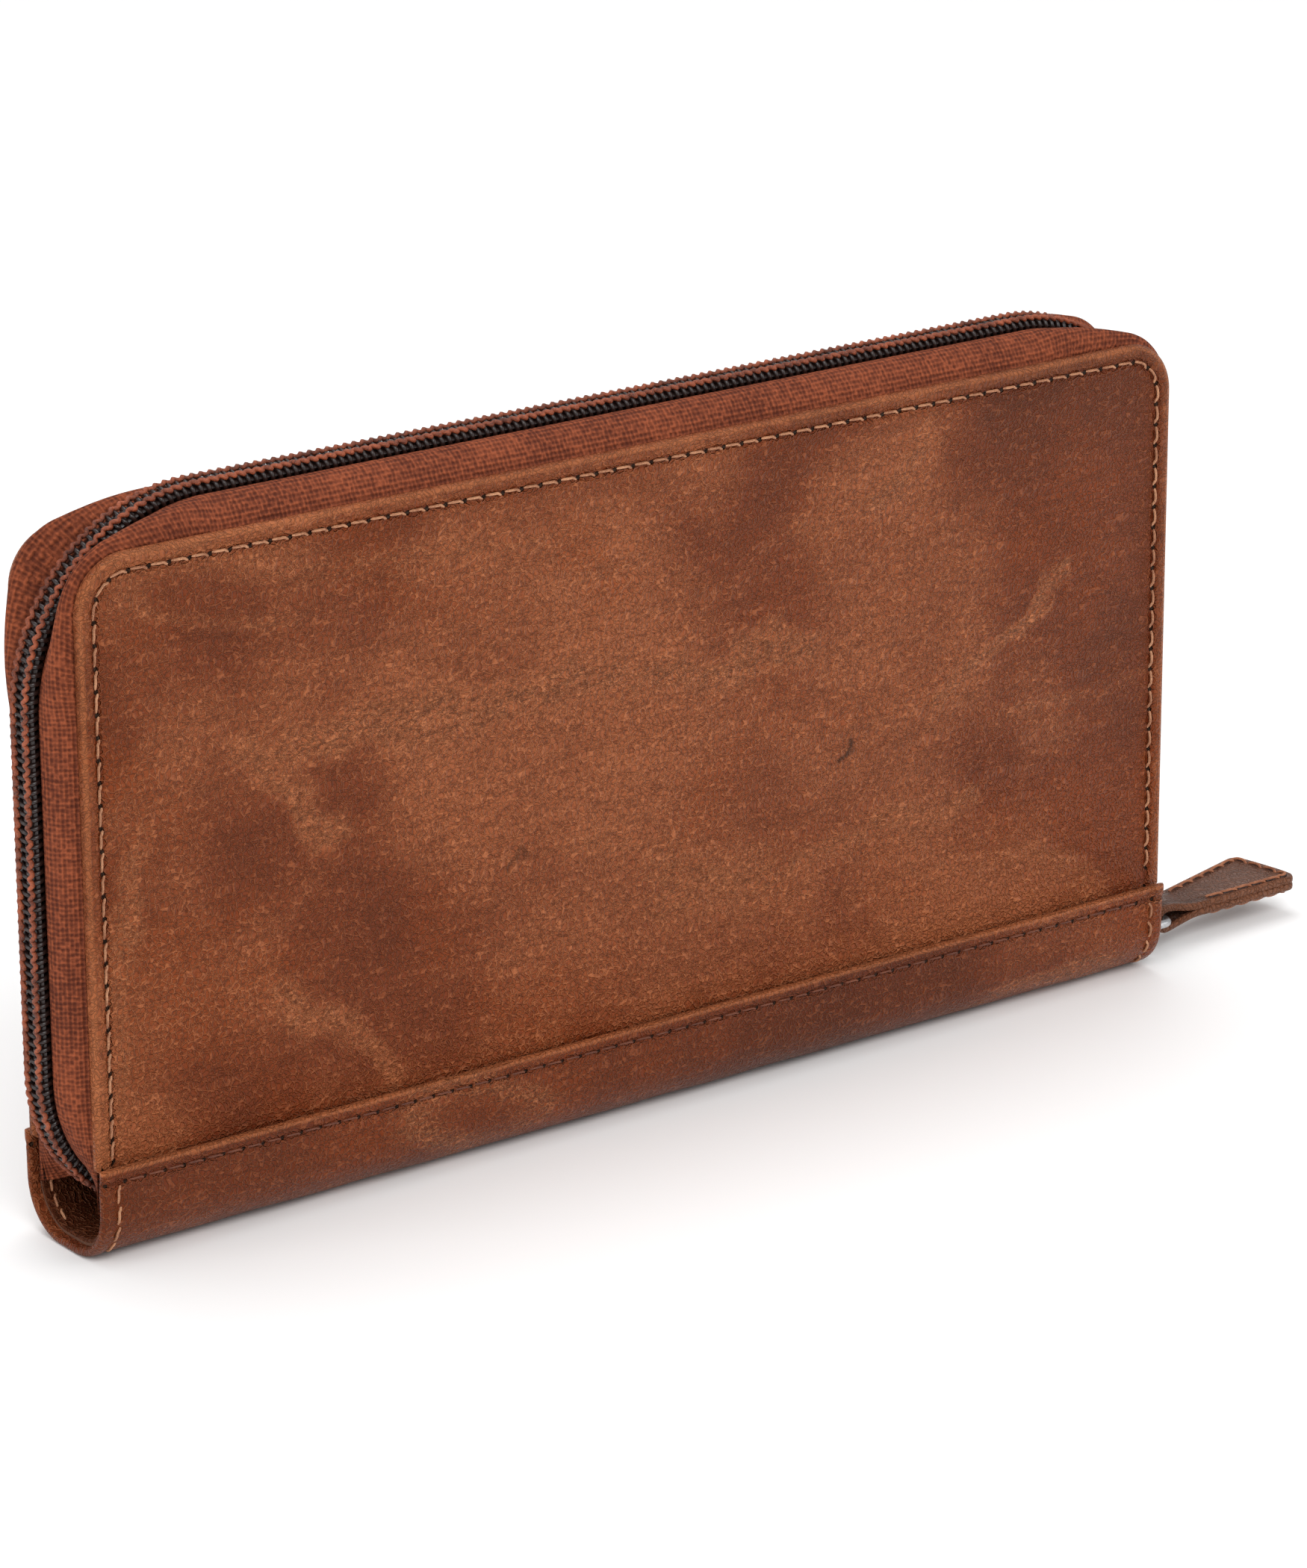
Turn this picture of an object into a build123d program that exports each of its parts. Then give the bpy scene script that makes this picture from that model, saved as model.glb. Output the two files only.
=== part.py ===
"""A zip-around leather long wallet, standing on its spine with the zip closed.

X runs along the wallet, Y through its thickness (front cover at -Y) and Z up.
The origin is the middle of the flat underside of the spine.  Millimetres.
"""
from build123d import *
import math
import os

# ---- overall sizes -------------------------------------------------------
cover_length = 190.0
cover_height = 100.0
corner_radius = 8.0
least_radius = 0.5           # of an inner layer's corners
note_room = 4.2              # thickness of each note compartment
spine_flat = 4.0             # width of the flat that it stands on
strip_height = 14.5          # how far the spine strip laps up each cover

# ---- layers of a cover, from outside to inside --------------------------
leather = 1.2
strip_chamfer = 0.3
rim_chamfer = 0.4
board = 0.6
lining = 0.6
board_inset = 7.0
lining_inset = 3.0
spine_stiffener = 0.4
spine_lining = 0.5
panel_lift = 0.5             # from the spine's bend to the covers' lower edge
lining_setback = 1.5         # the spine's lining stops short of its ends
play = 0.05                  # between layers that only lie together

# ---- main zip, a number 5 coil ------------------------------------------
coil_thickness = 2.4
coil_width = 3.0             # one half, when it is meshed
tape = 0.5
tape_seam = 6.0              # width of tape sewn inside a cover
tape_edge_gap = 0.3          # from the middle plane to the tape's woven edge
zip_rise_side = 4.1          # ridge of the coil outside the covers' ends
zip_rise_top = 5.0           # ridge of the coil above the covers' top
zip_corner = 28.0            # corner radius of the ridge
zip_tuck = 9.5               # how far the left end turns inwards
zip_tuck_from = 26.0         # height at which it begins to turn
zip_left_end = 7.5
zip_lean = 3.2               # the right side leans inwards towards its foot, in degrees
zip_thread_width = 0.7
zip_thread_height = 0.2
bottom_stop_length = 2.2
top_stop_length = 1.6

# ---- zip slider ----------------------------------------------------------
slider_bottom = 2.6
slider_length = 9.5
slider_plate = 0.9
slider_flange = 0.9
slider_clearance = 0.25
slider_mouth = 0.82          # a slider's narrow end, as a share of its shoulders' width
slider_shoulder = 0.45       # where the shoulders end, as a share of its length
slider_rounding = 0.4        # of its top plate's rim, as a share of the plate
post_width = 2.0
post_length = 3.8
bridge_width = 2.4
bridge_length = 7.6
bridge_bar = 0.7

# ---- metal loop and leather pull tab ------------------------------------
wire_radius = 0.65
wire_room = 0.5              # slack of the wire under the bridge
loop_length = 4.5            # between the middles of its two bars
loop_yaw = 2.5               # the loop and the tab lie a little askew, in degrees
tab_yaw = 8.0
tab_leather = 1.1
tab_length = 27.5            # past the loop's outer bar
tab_narrow = 6.6
tab_wide = 13.4
tab_widens_from = 2.0
tab_tip_radius = 1.8
tab_fold_clearance = 0.45
tab_arm_clearance = 0.35
tab_sewn_from = 7.0          # where the two layers lie together
tab_stitch_inset = 1.4

# ---- stitching -----------------------------------------------------------
thread_width = 0.6
thread_height = 0.25
stitch_inset = 2.7
strip_stitch_drop = 2.0
end_stitch_turn = 60.0       # how far round the spine the end stitching goes, in degrees

# ---- inside --------------------------------------------------------------
slot_leather = 0.3
slot_count = 3
slot_step = 14.0             # each slot's mouth is this much above the next
pocket_backing = 0.4
pocket_margin = 17.0         # from the covers' ends to the slots
pocket_bottom = 12.0
pocket_top_margin = 12.0
first_slot_drop = 14.0
purse_wall = 0.5
purse_gap = 0.7
purse_margin = 13.0
purse_top_margin = 22.0
gusset = 0.4
gusset_bottom = 12.0
gusset_top_margin = 42.0
gusset_edge_margin = 7.0     # from the covers' ends to the gussets' outer edge
gusset_depth = 18.0
gusset_flange = 4.0

# ---- zip of the coin purse, a number 3 coil -----------------------------
coin_coil_width = 2.0
coin_coil_thickness = 1.6
coin_tape = 0.4
coin_tape_seam = 5.0
coin_tape_slope = 4.6
coin_tape_room = 1.0         # from the slider's side to where its tapes turn down
coin_zip_rise = 2.2
coin_zip_margin = 5.0        # the zip is this much shorter than the purse at each end
coin_slider_length = 7.0
coin_slider_plate = 0.6
coin_slider_flange = 0.7
coin_post_width = 1.2
coin_post_length = 2.6
coin_bridge_width = 1.8
coin_bridge_length = 4.6
coin_bridge_bar = 0.6
coin_puller_length = 16.0
coin_puller_width = 4.4
coin_puller = 0.8
coin_puller_room = 0.6       # slack of the puller's bar under the bridge
coin_stop_length = 1.5

# ---- worked out from the sizes above -------------------------------------
FRONT, BACK = -1, 1
half_length = cover_length / 2
purse_outer = purse_gap / 2 + purse_wall
slot_face = purse_outer + note_room
backing_inner = slot_face + slot_count * slot_leather
backing_outer = backing_inner + pocket_backing
lining_inner = backing_outer + play
board_inner = lining_inner + lining
panel_inner = board_inner + board
panel_outer = panel_inner + leather
half_depth = panel_outer + leather
spine_radius = half_depth - spine_flat / 2
panel_bottom = spine_radius + panel_lift
spine_inside = leather + spine_stiffener + spine_lining
ridge_x = half_length + zip_rise_side
ridge_z = cover_height + zip_rise_top
corner_x = ridge_x - zip_corner
corner_z = ridge_z - zip_corner
lean = math.radians(zip_lean)
tuck_turn = 2 * math.atan(zip_tuck / (zip_tuck_from - zip_left_end))
tuck_radius = (zip_tuck_from - zip_left_end) / math.sin(tuck_turn)
channel = coil_width + slider_clearance
slider_half_width = channel + slider_flange
tape_flat = slider_half_width + slider_clearance
coil_end = post_width / 2 + post_length + slider_clearance
slider_run = (corner_z - zip_corner * math.sin(lean) - slider_bottom) / math.cos(lean)
pocket_half_length = half_length - pocket_margin
pocket_top = cover_height - pocket_top_margin
purse_half_length = half_length - purse_margin
purse_top = cover_height - purse_top_margin
coin_zip_half_length = purse_half_length - coin_zip_margin
coin_ridge = purse_top + coin_zip_rise + coin_tape + coin_coil_thickness
coin_channel = coin_coil_width + slider_clearance
coin_slider_half_width = coin_channel + coin_slider_flange
loop_half_width = tab_narrow / 2 + tab_arm_clearance + wire_radius


def save(piece, label):
    """Names the finished piece and writes its STEP file."""
    piece.part.label = label
    export_step(piece.part, f"parts/{label}.step")


def side_name(side):
    """The word for a cover."""
    return "front" if side == FRONT else "back"


def layer_plane(side, inner, outer):
    """The plane that a layer between two distances from the middle is extruded from."""
    return Plane.XZ.offset(-max(side * inner, side * outer))


def draw_cover_edge(inset, low):
    """Draws a cover's outline, up the left end, over the top and down the right end."""
    x = half_length - inset
    z = cover_height - inset
    radius = max(corner_radius - inset, least_radius)
    up = Line((-x, low), (-x, z - radius))
    left = CenterArc((-x + radius, z - radius), radius, 180, -90)
    top = Line((-x + radius, z), (x - radius, z))
    right = CenterArc((x - radius, z - radius), radius, 90, -90)
    down = Line((x, z - radius), (x, low))
    return [up, left, top, right, down]


def draw_sewn_edge(inset):
    """Draws a cover's outline again, cut into the same six stretches as the zip's path."""
    x = half_length - inset
    z = cover_height - inset
    radius = max(corner_radius - inset, least_radius)
    foot = Line((-x, panel_bottom), (-x, zip_tuck_from))
    up = Line((-x, zip_tuck_from), (-x, z - radius))
    left = CenterArc((-x + radius, z - radius), radius, 180, -90)
    top = Line((-x + radius, z), (x - radius, z))
    right = CenterArc((x - radius, z - radius), radius, 90, -90)
    down = Line((x, z - radius), (x, panel_bottom))
    return [foot, up, left, top, right, down]


def draw_zip_path(inset):
    """Draws the zip's path at a depth below its ridge, from the left foot to the slider."""
    x = ridge_x - inset
    z = ridge_z - inset
    radius = zip_corner - inset
    turn = math.degrees(tuck_turn)
    tuck = CenterArc((-ridge_x + tuck_radius, zip_tuck_from), tuck_radius - inset, 180 + turn, -turn)
    up = Line((-x, zip_tuck_from), (-x, corner_z))
    left = CenterArc((-corner_x, corner_z), radius, 180, -90)
    top = Line((-corner_x, z), (corner_x, z))
    right = CenterArc((corner_x, corner_z), radius, 90, -90 - zip_lean)
    run = slider_run - coil_end
    start = Vector(corner_x + radius * math.cos(lean), corner_z - radius * math.sin(lean))
    down = Line(start, start - Vector(math.sin(lean), math.cos(lean)) * run)
    return [tuck, up, left, top, right, down]


def close_band(outer, inner):
    """Draws the two short lines that close a band between two rails."""
    Line(outer[0] @ 0, inner[0] @ 0)
    Line(outer[-1] @ 1, inner[-1] @ 1)


def stretch_faces(plane, outer, inner):
    """The face between two rails, one stretch at a time."""
    faces = []
    for far, near in zip(outer, inner):
        ends = [Line(far @ 0, near @ 0), Line(far @ 1, near @ 1)]
        faces.append(plane * make_face([far, near, *ends]))
    return faces


def draw_spine_rail(depth, top):
    """Draws the spine's section at a depth below its outside: a flat-bottomed U."""
    y = half_depth - depth
    flat = spine_flat / 2
    radius = spine_radius - depth
    down = Line((-y, top), (-y, spine_radius))
    left = CenterArc((-flat, spine_radius), radius, 180, 90)
    floor = Line((-flat, depth), (flat, depth))
    right = CenterArc((flat, spine_radius), radius, 270, 90)
    up = Line((y, spine_radius), (y, top))
    return [down, left, floor, right, up]


# ---- spine ---------------------------------------------------------------
def make_spine_layer(label, outside, inside, top, reach):
    """One layer of the spine, a flat-bottomed U along its whole length."""
    with BuildPart() as wall:
        with BuildSketch(Plane.YZ):
            with BuildLine():
                close_band(draw_spine_rail(outside, top), draw_spine_rail(inside, top))
            make_face()
        extrude(amount=reach, both=True)
        if outside == 0:
            lips = wall.edges().filter_by(Axis.X).group_by(Axis.Z)[-1]
            chamfer(lips, strip_chamfer)
    save(wall, label)


def make_spine_stitching(side):
    """Thread along the strip's lip on one side, and round the spine at both its ends."""
    column = half_length - stitch_inset
    row_z = strip_height - strip_stitch_drop
    radius = spine_radius + thread_height
    centre = (side * spine_flat / 2, spine_radius)
    start = 180 if side == FRONT else 0
    turn = end_stitch_turn if side == FRONT else -end_stitch_turn
    with BuildPart() as thread:
        with BuildSketch(layer_plane(side, half_depth, half_depth + thread_height)):
            with Locations((0, row_z)):
                Rectangle(2 * (column - 2 * thread_width), thread_width)
        extrude(amount=thread_height)
        for end in (-column, column):
            with BuildSketch(Plane.YZ.offset(end)):
                with BuildLine():
                    outer_arc = CenterArc(centre, radius, start, turn)
                    inner_arc = CenterArc(centre, spine_radius, start, turn)
                    top = strip_height - leather
                    outer_rise = Line((side * (half_depth + thread_height), top), outer_arc @ 0)
                    inner_rise = Line((side * half_depth, top), inner_arc @ 0)
                    close_band([outer_rise, outer_arc], [inner_rise, inner_arc])
                make_face()
            extrude(amount=thread_width / 2, both=True)
    save(thread, f"spine_stitching_{side_name(side)}")


# ---- covers --------------------------------------------------------------
def make_cover_layer(side, name, inner, outer, inset):
    """A flat layer of a cover; the leather one has its rim eased where the edge is turned."""
    with BuildPart() as sheet:
        with BuildSketch(layer_plane(side, inner, outer)):
            with BuildLine():
                edge = draw_cover_edge(inset, panel_bottom)
                Line(edge[-1] @ 1, edge[0] @ 0)
            make_face()
        extrude(amount=outer - inner)
        if inset == 0:
            outside = sheet.faces().sort_by(Axis.Y)[0 if side == FRONT else -1]
            rim = outside.edges().filter_by(lambda edge: edge.center().Z > strip_height)
            chamfer(rim, rim_chamfer)
    save(sheet, f"{side_name(side)}_{name}")


def make_cover_stitching(side):
    """Thread round a cover, a little inside its edge and down to the strip's lip."""
    low = strip_height + play
    with BuildPart() as thread:
        with BuildSketch(layer_plane(side, panel_outer, panel_outer + thread_height)):
            with BuildLine():
                outer = draw_cover_edge(stitch_inset - thread_width / 2, low)
                inner = draw_cover_edge(stitch_inset + thread_width / 2, low)
                close_band(outer, inner)
            make_face()
        extrude(amount=thread_height)
    save(thread, f"{side_name(side)}_stitching")


def make_pockets(side):
    """The backing of a cover's card slots, and the slots in front of it, tier by tier."""
    name = side_name(side)
    height = pocket_top - pocket_bottom
    with BuildPart() as backing:
        with BuildSketch(layer_plane(side, backing_inner, backing_outer)):
            with Locations((0, pocket_bottom + height / 2)):
                Rectangle(2 * pocket_half_length, height)
        extrude(amount=pocket_backing)
    save(backing, f"{name}_pocket_backing")
    for tier in range(slot_count):
        inner = backing_inner - (tier + 1) * slot_leather
        tall = height - first_slot_drop - tier * slot_step
        with BuildPart() as slot:
            with BuildSketch(layer_plane(side, inner, inner + slot_leather)):
                with Locations((0, pocket_bottom + tall / 2)):
                    Rectangle(2 * pocket_half_length, tall)
            extrude(amount=slot_leather)
        save(slot, f"{name}_card_slot_{tier + 1}")


# ---- main zip ------------------------------------------------------------
def make_zip_band(side, label, low, high, inner, outer):
    """A bar that follows the whole zip, between two depths and two distances from the middle."""
    with BuildPart() as bar:
        with BuildSketch(layer_plane(side, inner, outer)):
            with BuildLine():
                close_band(draw_zip_path(high), draw_zip_path(low))
            make_face()
        extrude(amount=outer - inner)
    save(bar, label)


def make_zip_tape(side):
    """One tape: flat beside the coil, sloping to the cover, and sewn inside its edge."""
    seam_inner = panel_inner - tape
    coil_rails = (draw_zip_path(coil_thickness), draw_zip_path(coil_thickness + tape))
    sewn_rails = (draw_sewn_edge(tape), draw_sewn_edge(2 * tape))
    at_coil = stretch_faces(Plane.XZ.offset(-side * tape_flat), *coil_rails)
    at_cover = stretch_faces(Plane.XZ.offset(-side * seam_inner), *sewn_rails)
    with BuildPart() as ribbon:
        with BuildSketch(layer_plane(side, tape_edge_gap, tape_flat)):
            with BuildLine():
                close_band(draw_zip_path(coil_thickness), draw_zip_path(coil_thickness + tape))
            make_face()
        extrude(amount=tape_flat - tape_edge_gap)
        for top, foot in zip(at_coil, at_cover):
            loft(sections=[top, foot], ruled=True)
        with BuildSketch(layer_plane(side, seam_inner, panel_inner)):
            with BuildLine():
                close_band(draw_sewn_edge(tape), draw_sewn_edge(tape + tape_seam))
            make_face()
        extrude(amount=tape)
    save(ribbon, f"{side_name(side)}_zip_tape")


def make_bottom_stop():
    """The stop clamped over both halves of the coil at its left foot, inside the spine."""
    heading = Vector(math.sin(tuck_turn), -math.cos(tuck_turn))
    inwards = Vector(math.cos(tuck_turn), math.sin(tuck_turn))
    centre = Vector(-ridge_x + tuck_radius, zip_tuck_from)
    foot = centre - inwards * tuck_radius
    depth = coil_thickness + tape
    with BuildPart() as stop:
        with BuildSketch(Plane.XZ):
            with BuildLine():
                corners = [foot, foot + heading * bottom_stop_length]
                corners += [corner + inwards * depth for corner in reversed(corners)]
                Polyline(*corners, close=True)
            make_face()
        extrude(amount=coil_width, both=True)
    save(stop, "zip_bottom_stop")


slider_foot = Vector(
    corner_x + zip_corner * math.cos(lean) - slider_run * math.sin(lean),
    0,
    slider_bottom,
)
slider_frame = Plane(
    origin=slider_foot,
    x_dir=(0, 1, 0),
    z_dir=(math.cos(lean), 0, -math.sin(lean)),
)


def make_top_stops():
    """The two stops at the coils' right ends, one on each side of the slider's post."""
    inner = post_width / 2 + slider_clearance
    for side in (FRONT, BACK):
        with BuildPart() as stop:
            with BuildSketch(slider_frame.offset(-coil_thickness)):
                with Locations((side * (inner + coil_width) / 2, coil_end - top_stop_length / 2 - play)):
                    Rectangle(coil_width - inner, top_stop_length)
            extrude(amount=coil_thickness)
        save(stop, f"zip_top_stop_{side_name(side)}")


# ---- sliders -------------------------------------------------------------
def draw_slider_plan(length, half_width):
    """Draws a slider from outside: broad shoulders first, then a narrower mouth."""
    mouth = half_width * slider_mouth
    shoulder = length * slider_shoulder
    right = [(half_width, 0), (half_width, shoulder), (mouth, length)]
    left = [(-x, y) for x, y in reversed(right)]
    Polyline(*right, *left, close=True)


def make_slider(label, frame, body, zip_layers, post, bridge):
    """A cast slider: base, crown, flanges, the post between the coils, and the bridge.

    The frame's origin is on the coil's ridge, its Y axis runs along the zip and its Z axis
    points away from the tape.  body is length, channel, flange and plate; zip_layers is the
    coil's and the tape's thickness; post is width and length; bridge is length, width, bar
    and the room under it.
    """
    length, inside, flange, plate = body
    coil, band = zip_layers
    post_wide, post_long = post
    bridge_long, bridge_wide, bar, gap = bridge
    half_width = inside + flange
    crown = slider_clearance + plate
    base = -coil - band - slider_clearance
    middle = length / 2
    with BuildPart() as slider:
        for level in (base - plate, slider_clearance):
            with BuildSketch(frame.offset(level)):
                with BuildLine():
                    draw_slider_plan(length, half_width)
                make_face()
            extrude(amount=plate)
        rim = slider.faces().sort_by(Axis(frame.origin, frame.z_dir))[-1]
        fillet(rim.edges(), plate * slider_rounding)
        with BuildSketch(frame.offset(-coil + slider_clearance)):
            with BuildLine():
                draw_slider_plan(length, half_width)
            make_face()
            with Locations((0, middle)):
                Rectangle(2 * inside, length, mode=Mode.SUBTRACT)
        extrude(amount=coil)
        with BuildSketch(frame.offset(base)):
            with BuildLine():
                centre = (post_wide + post_long) / 2
                tips = [(post_wide / 2, 0), (0, post_long / 2), (-post_wide / 2, 0), (0, -post_long / 2)]
                Polyline(*[(x, centre + y) for x, y in tips], close=True)
            make_face()
        extrude(amount=coil + band + 2 * slider_clearance)
        side = Plane(origin=frame.origin, x_dir=frame.y_dir, z_dir=frame.x_dir)
        tall = gap + bar
        with BuildSketch(side):
            with Locations((middle, crown + (tall - bar) / 2)):
                RectangleRounded(bridge_long, tall + bar, bar)
            with Locations((middle, crown + gap / 2)):
                Rectangle(bridge_long - 2 * bar, gap, mode=Mode.SUBTRACT)
            with Locations((middle, crown - bar)):
                Rectangle(bridge_long, bar * 2, mode=Mode.SUBTRACT)
        extrude(amount=bridge_wide / 2, both=True)
    save(slider, label)


# ---- main pull -----------------------------------------------------------
pull_room = 2 * wire_radius + wire_room
pull_spot = slider_frame.from_local_coords(
    Vector(
        0,
        (slider_length - bridge_length) / 2 + bridge_bar + wire_radius + slider_clearance,
        slider_clearance + slider_plate + pull_room / 2,
    )
)
pull_frame = Plane(origin=pull_spot, x_dir=Vector(1, 0, 0).rotate(Axis.Z, loop_yaw), z_dir=(0, 0, 1))
tab_frame = Plane(
    origin=pull_frame.from_local_coords(Vector(loop_length, 0, 0)),
    x_dir=Vector(1, 0, 0).rotate(Axis.Z, tab_yaw),
    z_dir=(0, 0, 1),
)


def make_puller_loop():
    """The wire loop: one bar under the slider's bridge and one inside the leather tab."""
    with BuildPart() as loop:
        with BuildLine(pull_frame) as path:
            FilletPolyline(
                (0, -loop_half_width),
                (loop_length, -loop_half_width),
                (loop_length, loop_half_width),
                (0, loop_half_width),
                radius=2 * wire_radius,
                close=True,
            )
        bar = path.edges().filter_by(GeomType.LINE).sort_by_distance(pull_frame.origin)[0]
        with BuildSketch(Plane(origin=bar @ 0.5, z_dir=bar % 0.5)):
            Circle(wire_radius)
        sweep(path=path.wire())
    save(loop, "zip_puller_loop")


def tab_half_width(x):
    """Half the tab's width at a distance past the loop's outer bar."""
    share = (x - tab_widens_from) / (tab_length - tab_widens_from)
    return (tab_narrow + (tab_wide - tab_narrow) * share) / 2


def make_pull_tab():
    """One strip of leather folded round the loop's outer bar and sewn to itself."""
    inner = wire_radius + tab_fold_clearance
    outer = inner + tab_leather
    hollow_end = tab_sewn_from - tab_leather
    side = Plane(origin=tab_frame.origin, x_dir=tab_frame.x_dir, z_dir=-tab_frame.y_dir)
    with BuildPart() as tab:
        with BuildSketch(side):
            with BuildLine():
                Polyline(
                    (tab_sewn_from, -tab_leather),
                    (tab_length, -tab_leather),
                    (tab_length, tab_leather),
                    (tab_sewn_from, tab_leather),
                )
                Spline((tab_sewn_from, tab_leather), (0, outer), tangents=[(-1, 0), (-1, 0)])
                CenterArc((0, 0), outer, 90, 180)
                Spline((0, -outer), (tab_sewn_from, -tab_leather), tangents=[(1, 0), (1, 0)])
            make_face()
            with BuildLine():
                CenterArc((0, 0), inner, 90, 180)
                Polyline((0, -inner), (hollow_end, 0), (0, inner))
            make_face(mode=Mode.SUBTRACT)
        extrude(amount=tab_wide, both=True)
        with BuildSketch(tab_frame.offset(-tab_wide)) as plan:
            with BuildLine():
                near = [(-outer, tab_narrow / 2), (tab_widens_from, tab_narrow / 2)]
                tip = [(tab_length, tab_wide / 2)]
                half = near + tip
                Polyline(*half, *[(x, -y) for x, y in reversed(half)], close=True)
            make_face()
            fillet(plan.vertices().group_by(Axis.X)[-1], tab_tip_radius)
        extrude(amount=2 * tab_wide, mode=Mode.INTERSECT)
    save(tab, "pull_tab")


def make_tab_stitching():
    """The thread round the tab's edge, on its upper and its lower face."""
    start = tab_sewn_from + thread_width
    end = tab_length - tab_stitch_inset
    rail = [(x, tab_half_width(x) - tab_stitch_inset) for x in (start, end)]
    with BuildPart() as thread:
        for level in (tab_leather, -tab_leather - thread_height):
            with BuildSketch(tab_frame.offset(level)):
                with BuildLine():
                    Polyline(*rail, *[(x, -y) for x, y in reversed(rail)])
                trace(line_width=thread_width)
            extrude(amount=thread_height)
    save(thread, "pull_tab_stitching")


# ---- coin purse between the covers --------------------------------------
def make_purse_wall(side):
    """One wall of the coin purse, standing on the spine's lining."""
    height = purse_top - spine_inside
    with BuildPart() as wall:
        with BuildSketch(layer_plane(side, purse_gap / 2, purse_outer)):
            with Locations((0, spine_inside + height / 2)):
                Rectangle(2 * purse_half_length, height)
        extrude(amount=purse_wall)
    save(wall, f"purse_{side_name(side)}_wall")


coin_slider_foot = Vector(-coin_zip_half_length + coin_stop_length, 0, coin_ridge)
coin_frame = Plane(origin=coin_slider_foot, x_dir=(0, -1, 0), z_dir=(0, 0, 1))
coin_coil_start = coin_slider_foot.X + coin_post_width / 2 + coin_post_length + slider_clearance


def make_coin_zip(side):
    """One half of the purse's zip: the coil's bar, and a tape that folds down to the wall."""
    name = side_name(side)
    low = coin_ridge - coin_coil_thickness
    length = coin_zip_half_length - coin_coil_start
    with BuildPart() as coil:
        with BuildSketch(Plane.YZ.offset(coin_coil_start)):
            with Locations((side * (play + coin_coil_width) / 2, low + coin_coil_thickness / 2)):
                Rectangle(coin_coil_width - play, coin_coil_thickness)
        extrude(amount=length)
    save(coil, f"purse_zip_coil_{name}")
    level = low - coin_tape / 2
    outside = coin_slider_half_width + coin_tape_room
    sewn = purse_outer + coin_tape / 2
    foot = level - coin_tape_slope
    with BuildPart() as ribbon:
        with BuildSketch(Plane.YZ.offset(coin_coil_start)):
            with BuildLine():
                Polyline(
                    (side * tape_edge_gap, level),
                    (side * outside, level),
                    (side * sewn, foot),
                    (side * sewn, foot - coin_tape_seam),
                )
            trace(line_width=coin_tape)
        extrude(amount=length)
    save(ribbon, f"purse_zip_tape_{name}")


def make_coin_stop():
    """The stop over both halves of the purse zip's coil at its far end."""
    low = coin_ridge - coin_coil_thickness
    with BuildPart() as stop:
        with BuildSketch(Plane.YZ.offset(coin_zip_half_length)):
            with Locations((0, low + coin_coil_thickness / 2)):
                Rectangle(2 * coin_coil_width, coin_coil_thickness)
        extrude(amount=coin_stop_length)
    save(stop, "purse_zip_stop")


def make_coin_puller():
    """The flat metal pull of the purse's slider, hinged on the bar under the bridge."""
    gap = coin_puller + coin_puller_room
    crown = slider_clearance + coin_slider_plate
    low = crown + (gap - coin_puller) / 2
    bridge_start = (coin_slider_length - coin_bridge_length) / 2
    bar_start = bridge_start + coin_bridge_bar + slider_clearance
    eye_start = bar_start + coin_puller
    eye_length = bridge_start + coin_bridge_length + slider_clearance - eye_start
    eye_width = coin_bridge_width + 2 * slider_clearance
    with BuildPart() as puller:
        with BuildSketch(coin_frame.offset(low)):
            with Locations((0, bar_start + coin_puller_length / 2)):
                RectangleRounded(coin_puller_width, coin_puller_length, coin_puller / 2)
            with Locations((0, eye_start + eye_length / 2)):
                Rectangle(eye_width, eye_length, mode=Mode.SUBTRACT)
        extrude(amount=coin_puller)
    save(puller, "purse_zip_puller")


# ---- gussets ------------------------------------------------------------
def make_gusset(end, side):
    """A gusset folded inwards between a cover's pockets and the purse, at one end."""
    edge = half_length - gusset_edge_margin
    at_cover = lining_inner - play - gusset / 2
    at_purse = purse_outer + play + gusset / 2
    fold = (at_cover + at_purse) / 2
    height = cover_height - gusset_top_margin - gusset_bottom
    with BuildPart() as web:
        with BuildSketch(Plane.XY.offset(gusset_bottom)):
            with BuildLine():
                Polyline(
                    (end * (edge - gusset_flange), side * at_cover),
                    (end * edge, side * at_cover),
                    (end * (edge - gusset_depth), side * fold),
                    (end * purse_half_length, side * at_purse),
                    (end * (purse_half_length - gusset_flange), side * at_purse),
                )
            trace(line_width=gusset)
        extrude(amount=height)
    save(web, f"gusset_{'left' if end < 0 else 'right'}_{side_name(side)}")


# ---- the whole wallet ---------------------------------------------------
os.makedirs("parts", exist_ok=True)
stiffener_depth = leather + spine_stiffener
make_spine_layer("spine_strip", 0, leather, strip_height, half_length)
lining_top = panel_bottom - play
lining_reach = half_length - lining_setback
make_spine_layer("spine_stiffener", leather, stiffener_depth, lining_top, lining_reach)
make_spine_layer("spine_lining", stiffener_depth, spine_inside, lining_top, lining_reach)
for cover in (FRONT, BACK):
    cover_name = side_name(cover)
    make_spine_stitching(cover)
    make_cover_layer(cover, "panel", panel_inner, panel_outer, 0)
    make_cover_layer(cover, "board", board_inner, panel_inner, board_inset)
    make_cover_layer(cover, "lining", lining_inner, board_inner, lining_inset)
    make_cover_stitching(cover)
    make_pockets(cover)
    make_zip_band(cover, f"{cover_name}_zip_coil", 0, coil_thickness, play, coil_width)
    thread_from = (coil_width - zip_thread_width) / 2
    thread_to = thread_from + zip_thread_width
    make_zip_band(cover, f"{cover_name}_zip_stitching", -zip_thread_height, 0, thread_from, thread_to)
    make_zip_tape(cover)
    make_purse_wall(cover)
    make_coin_zip(cover)
    make_gusset(-1, cover)
    make_gusset(1, cover)
make_bottom_stop()
make_top_stops()
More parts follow.
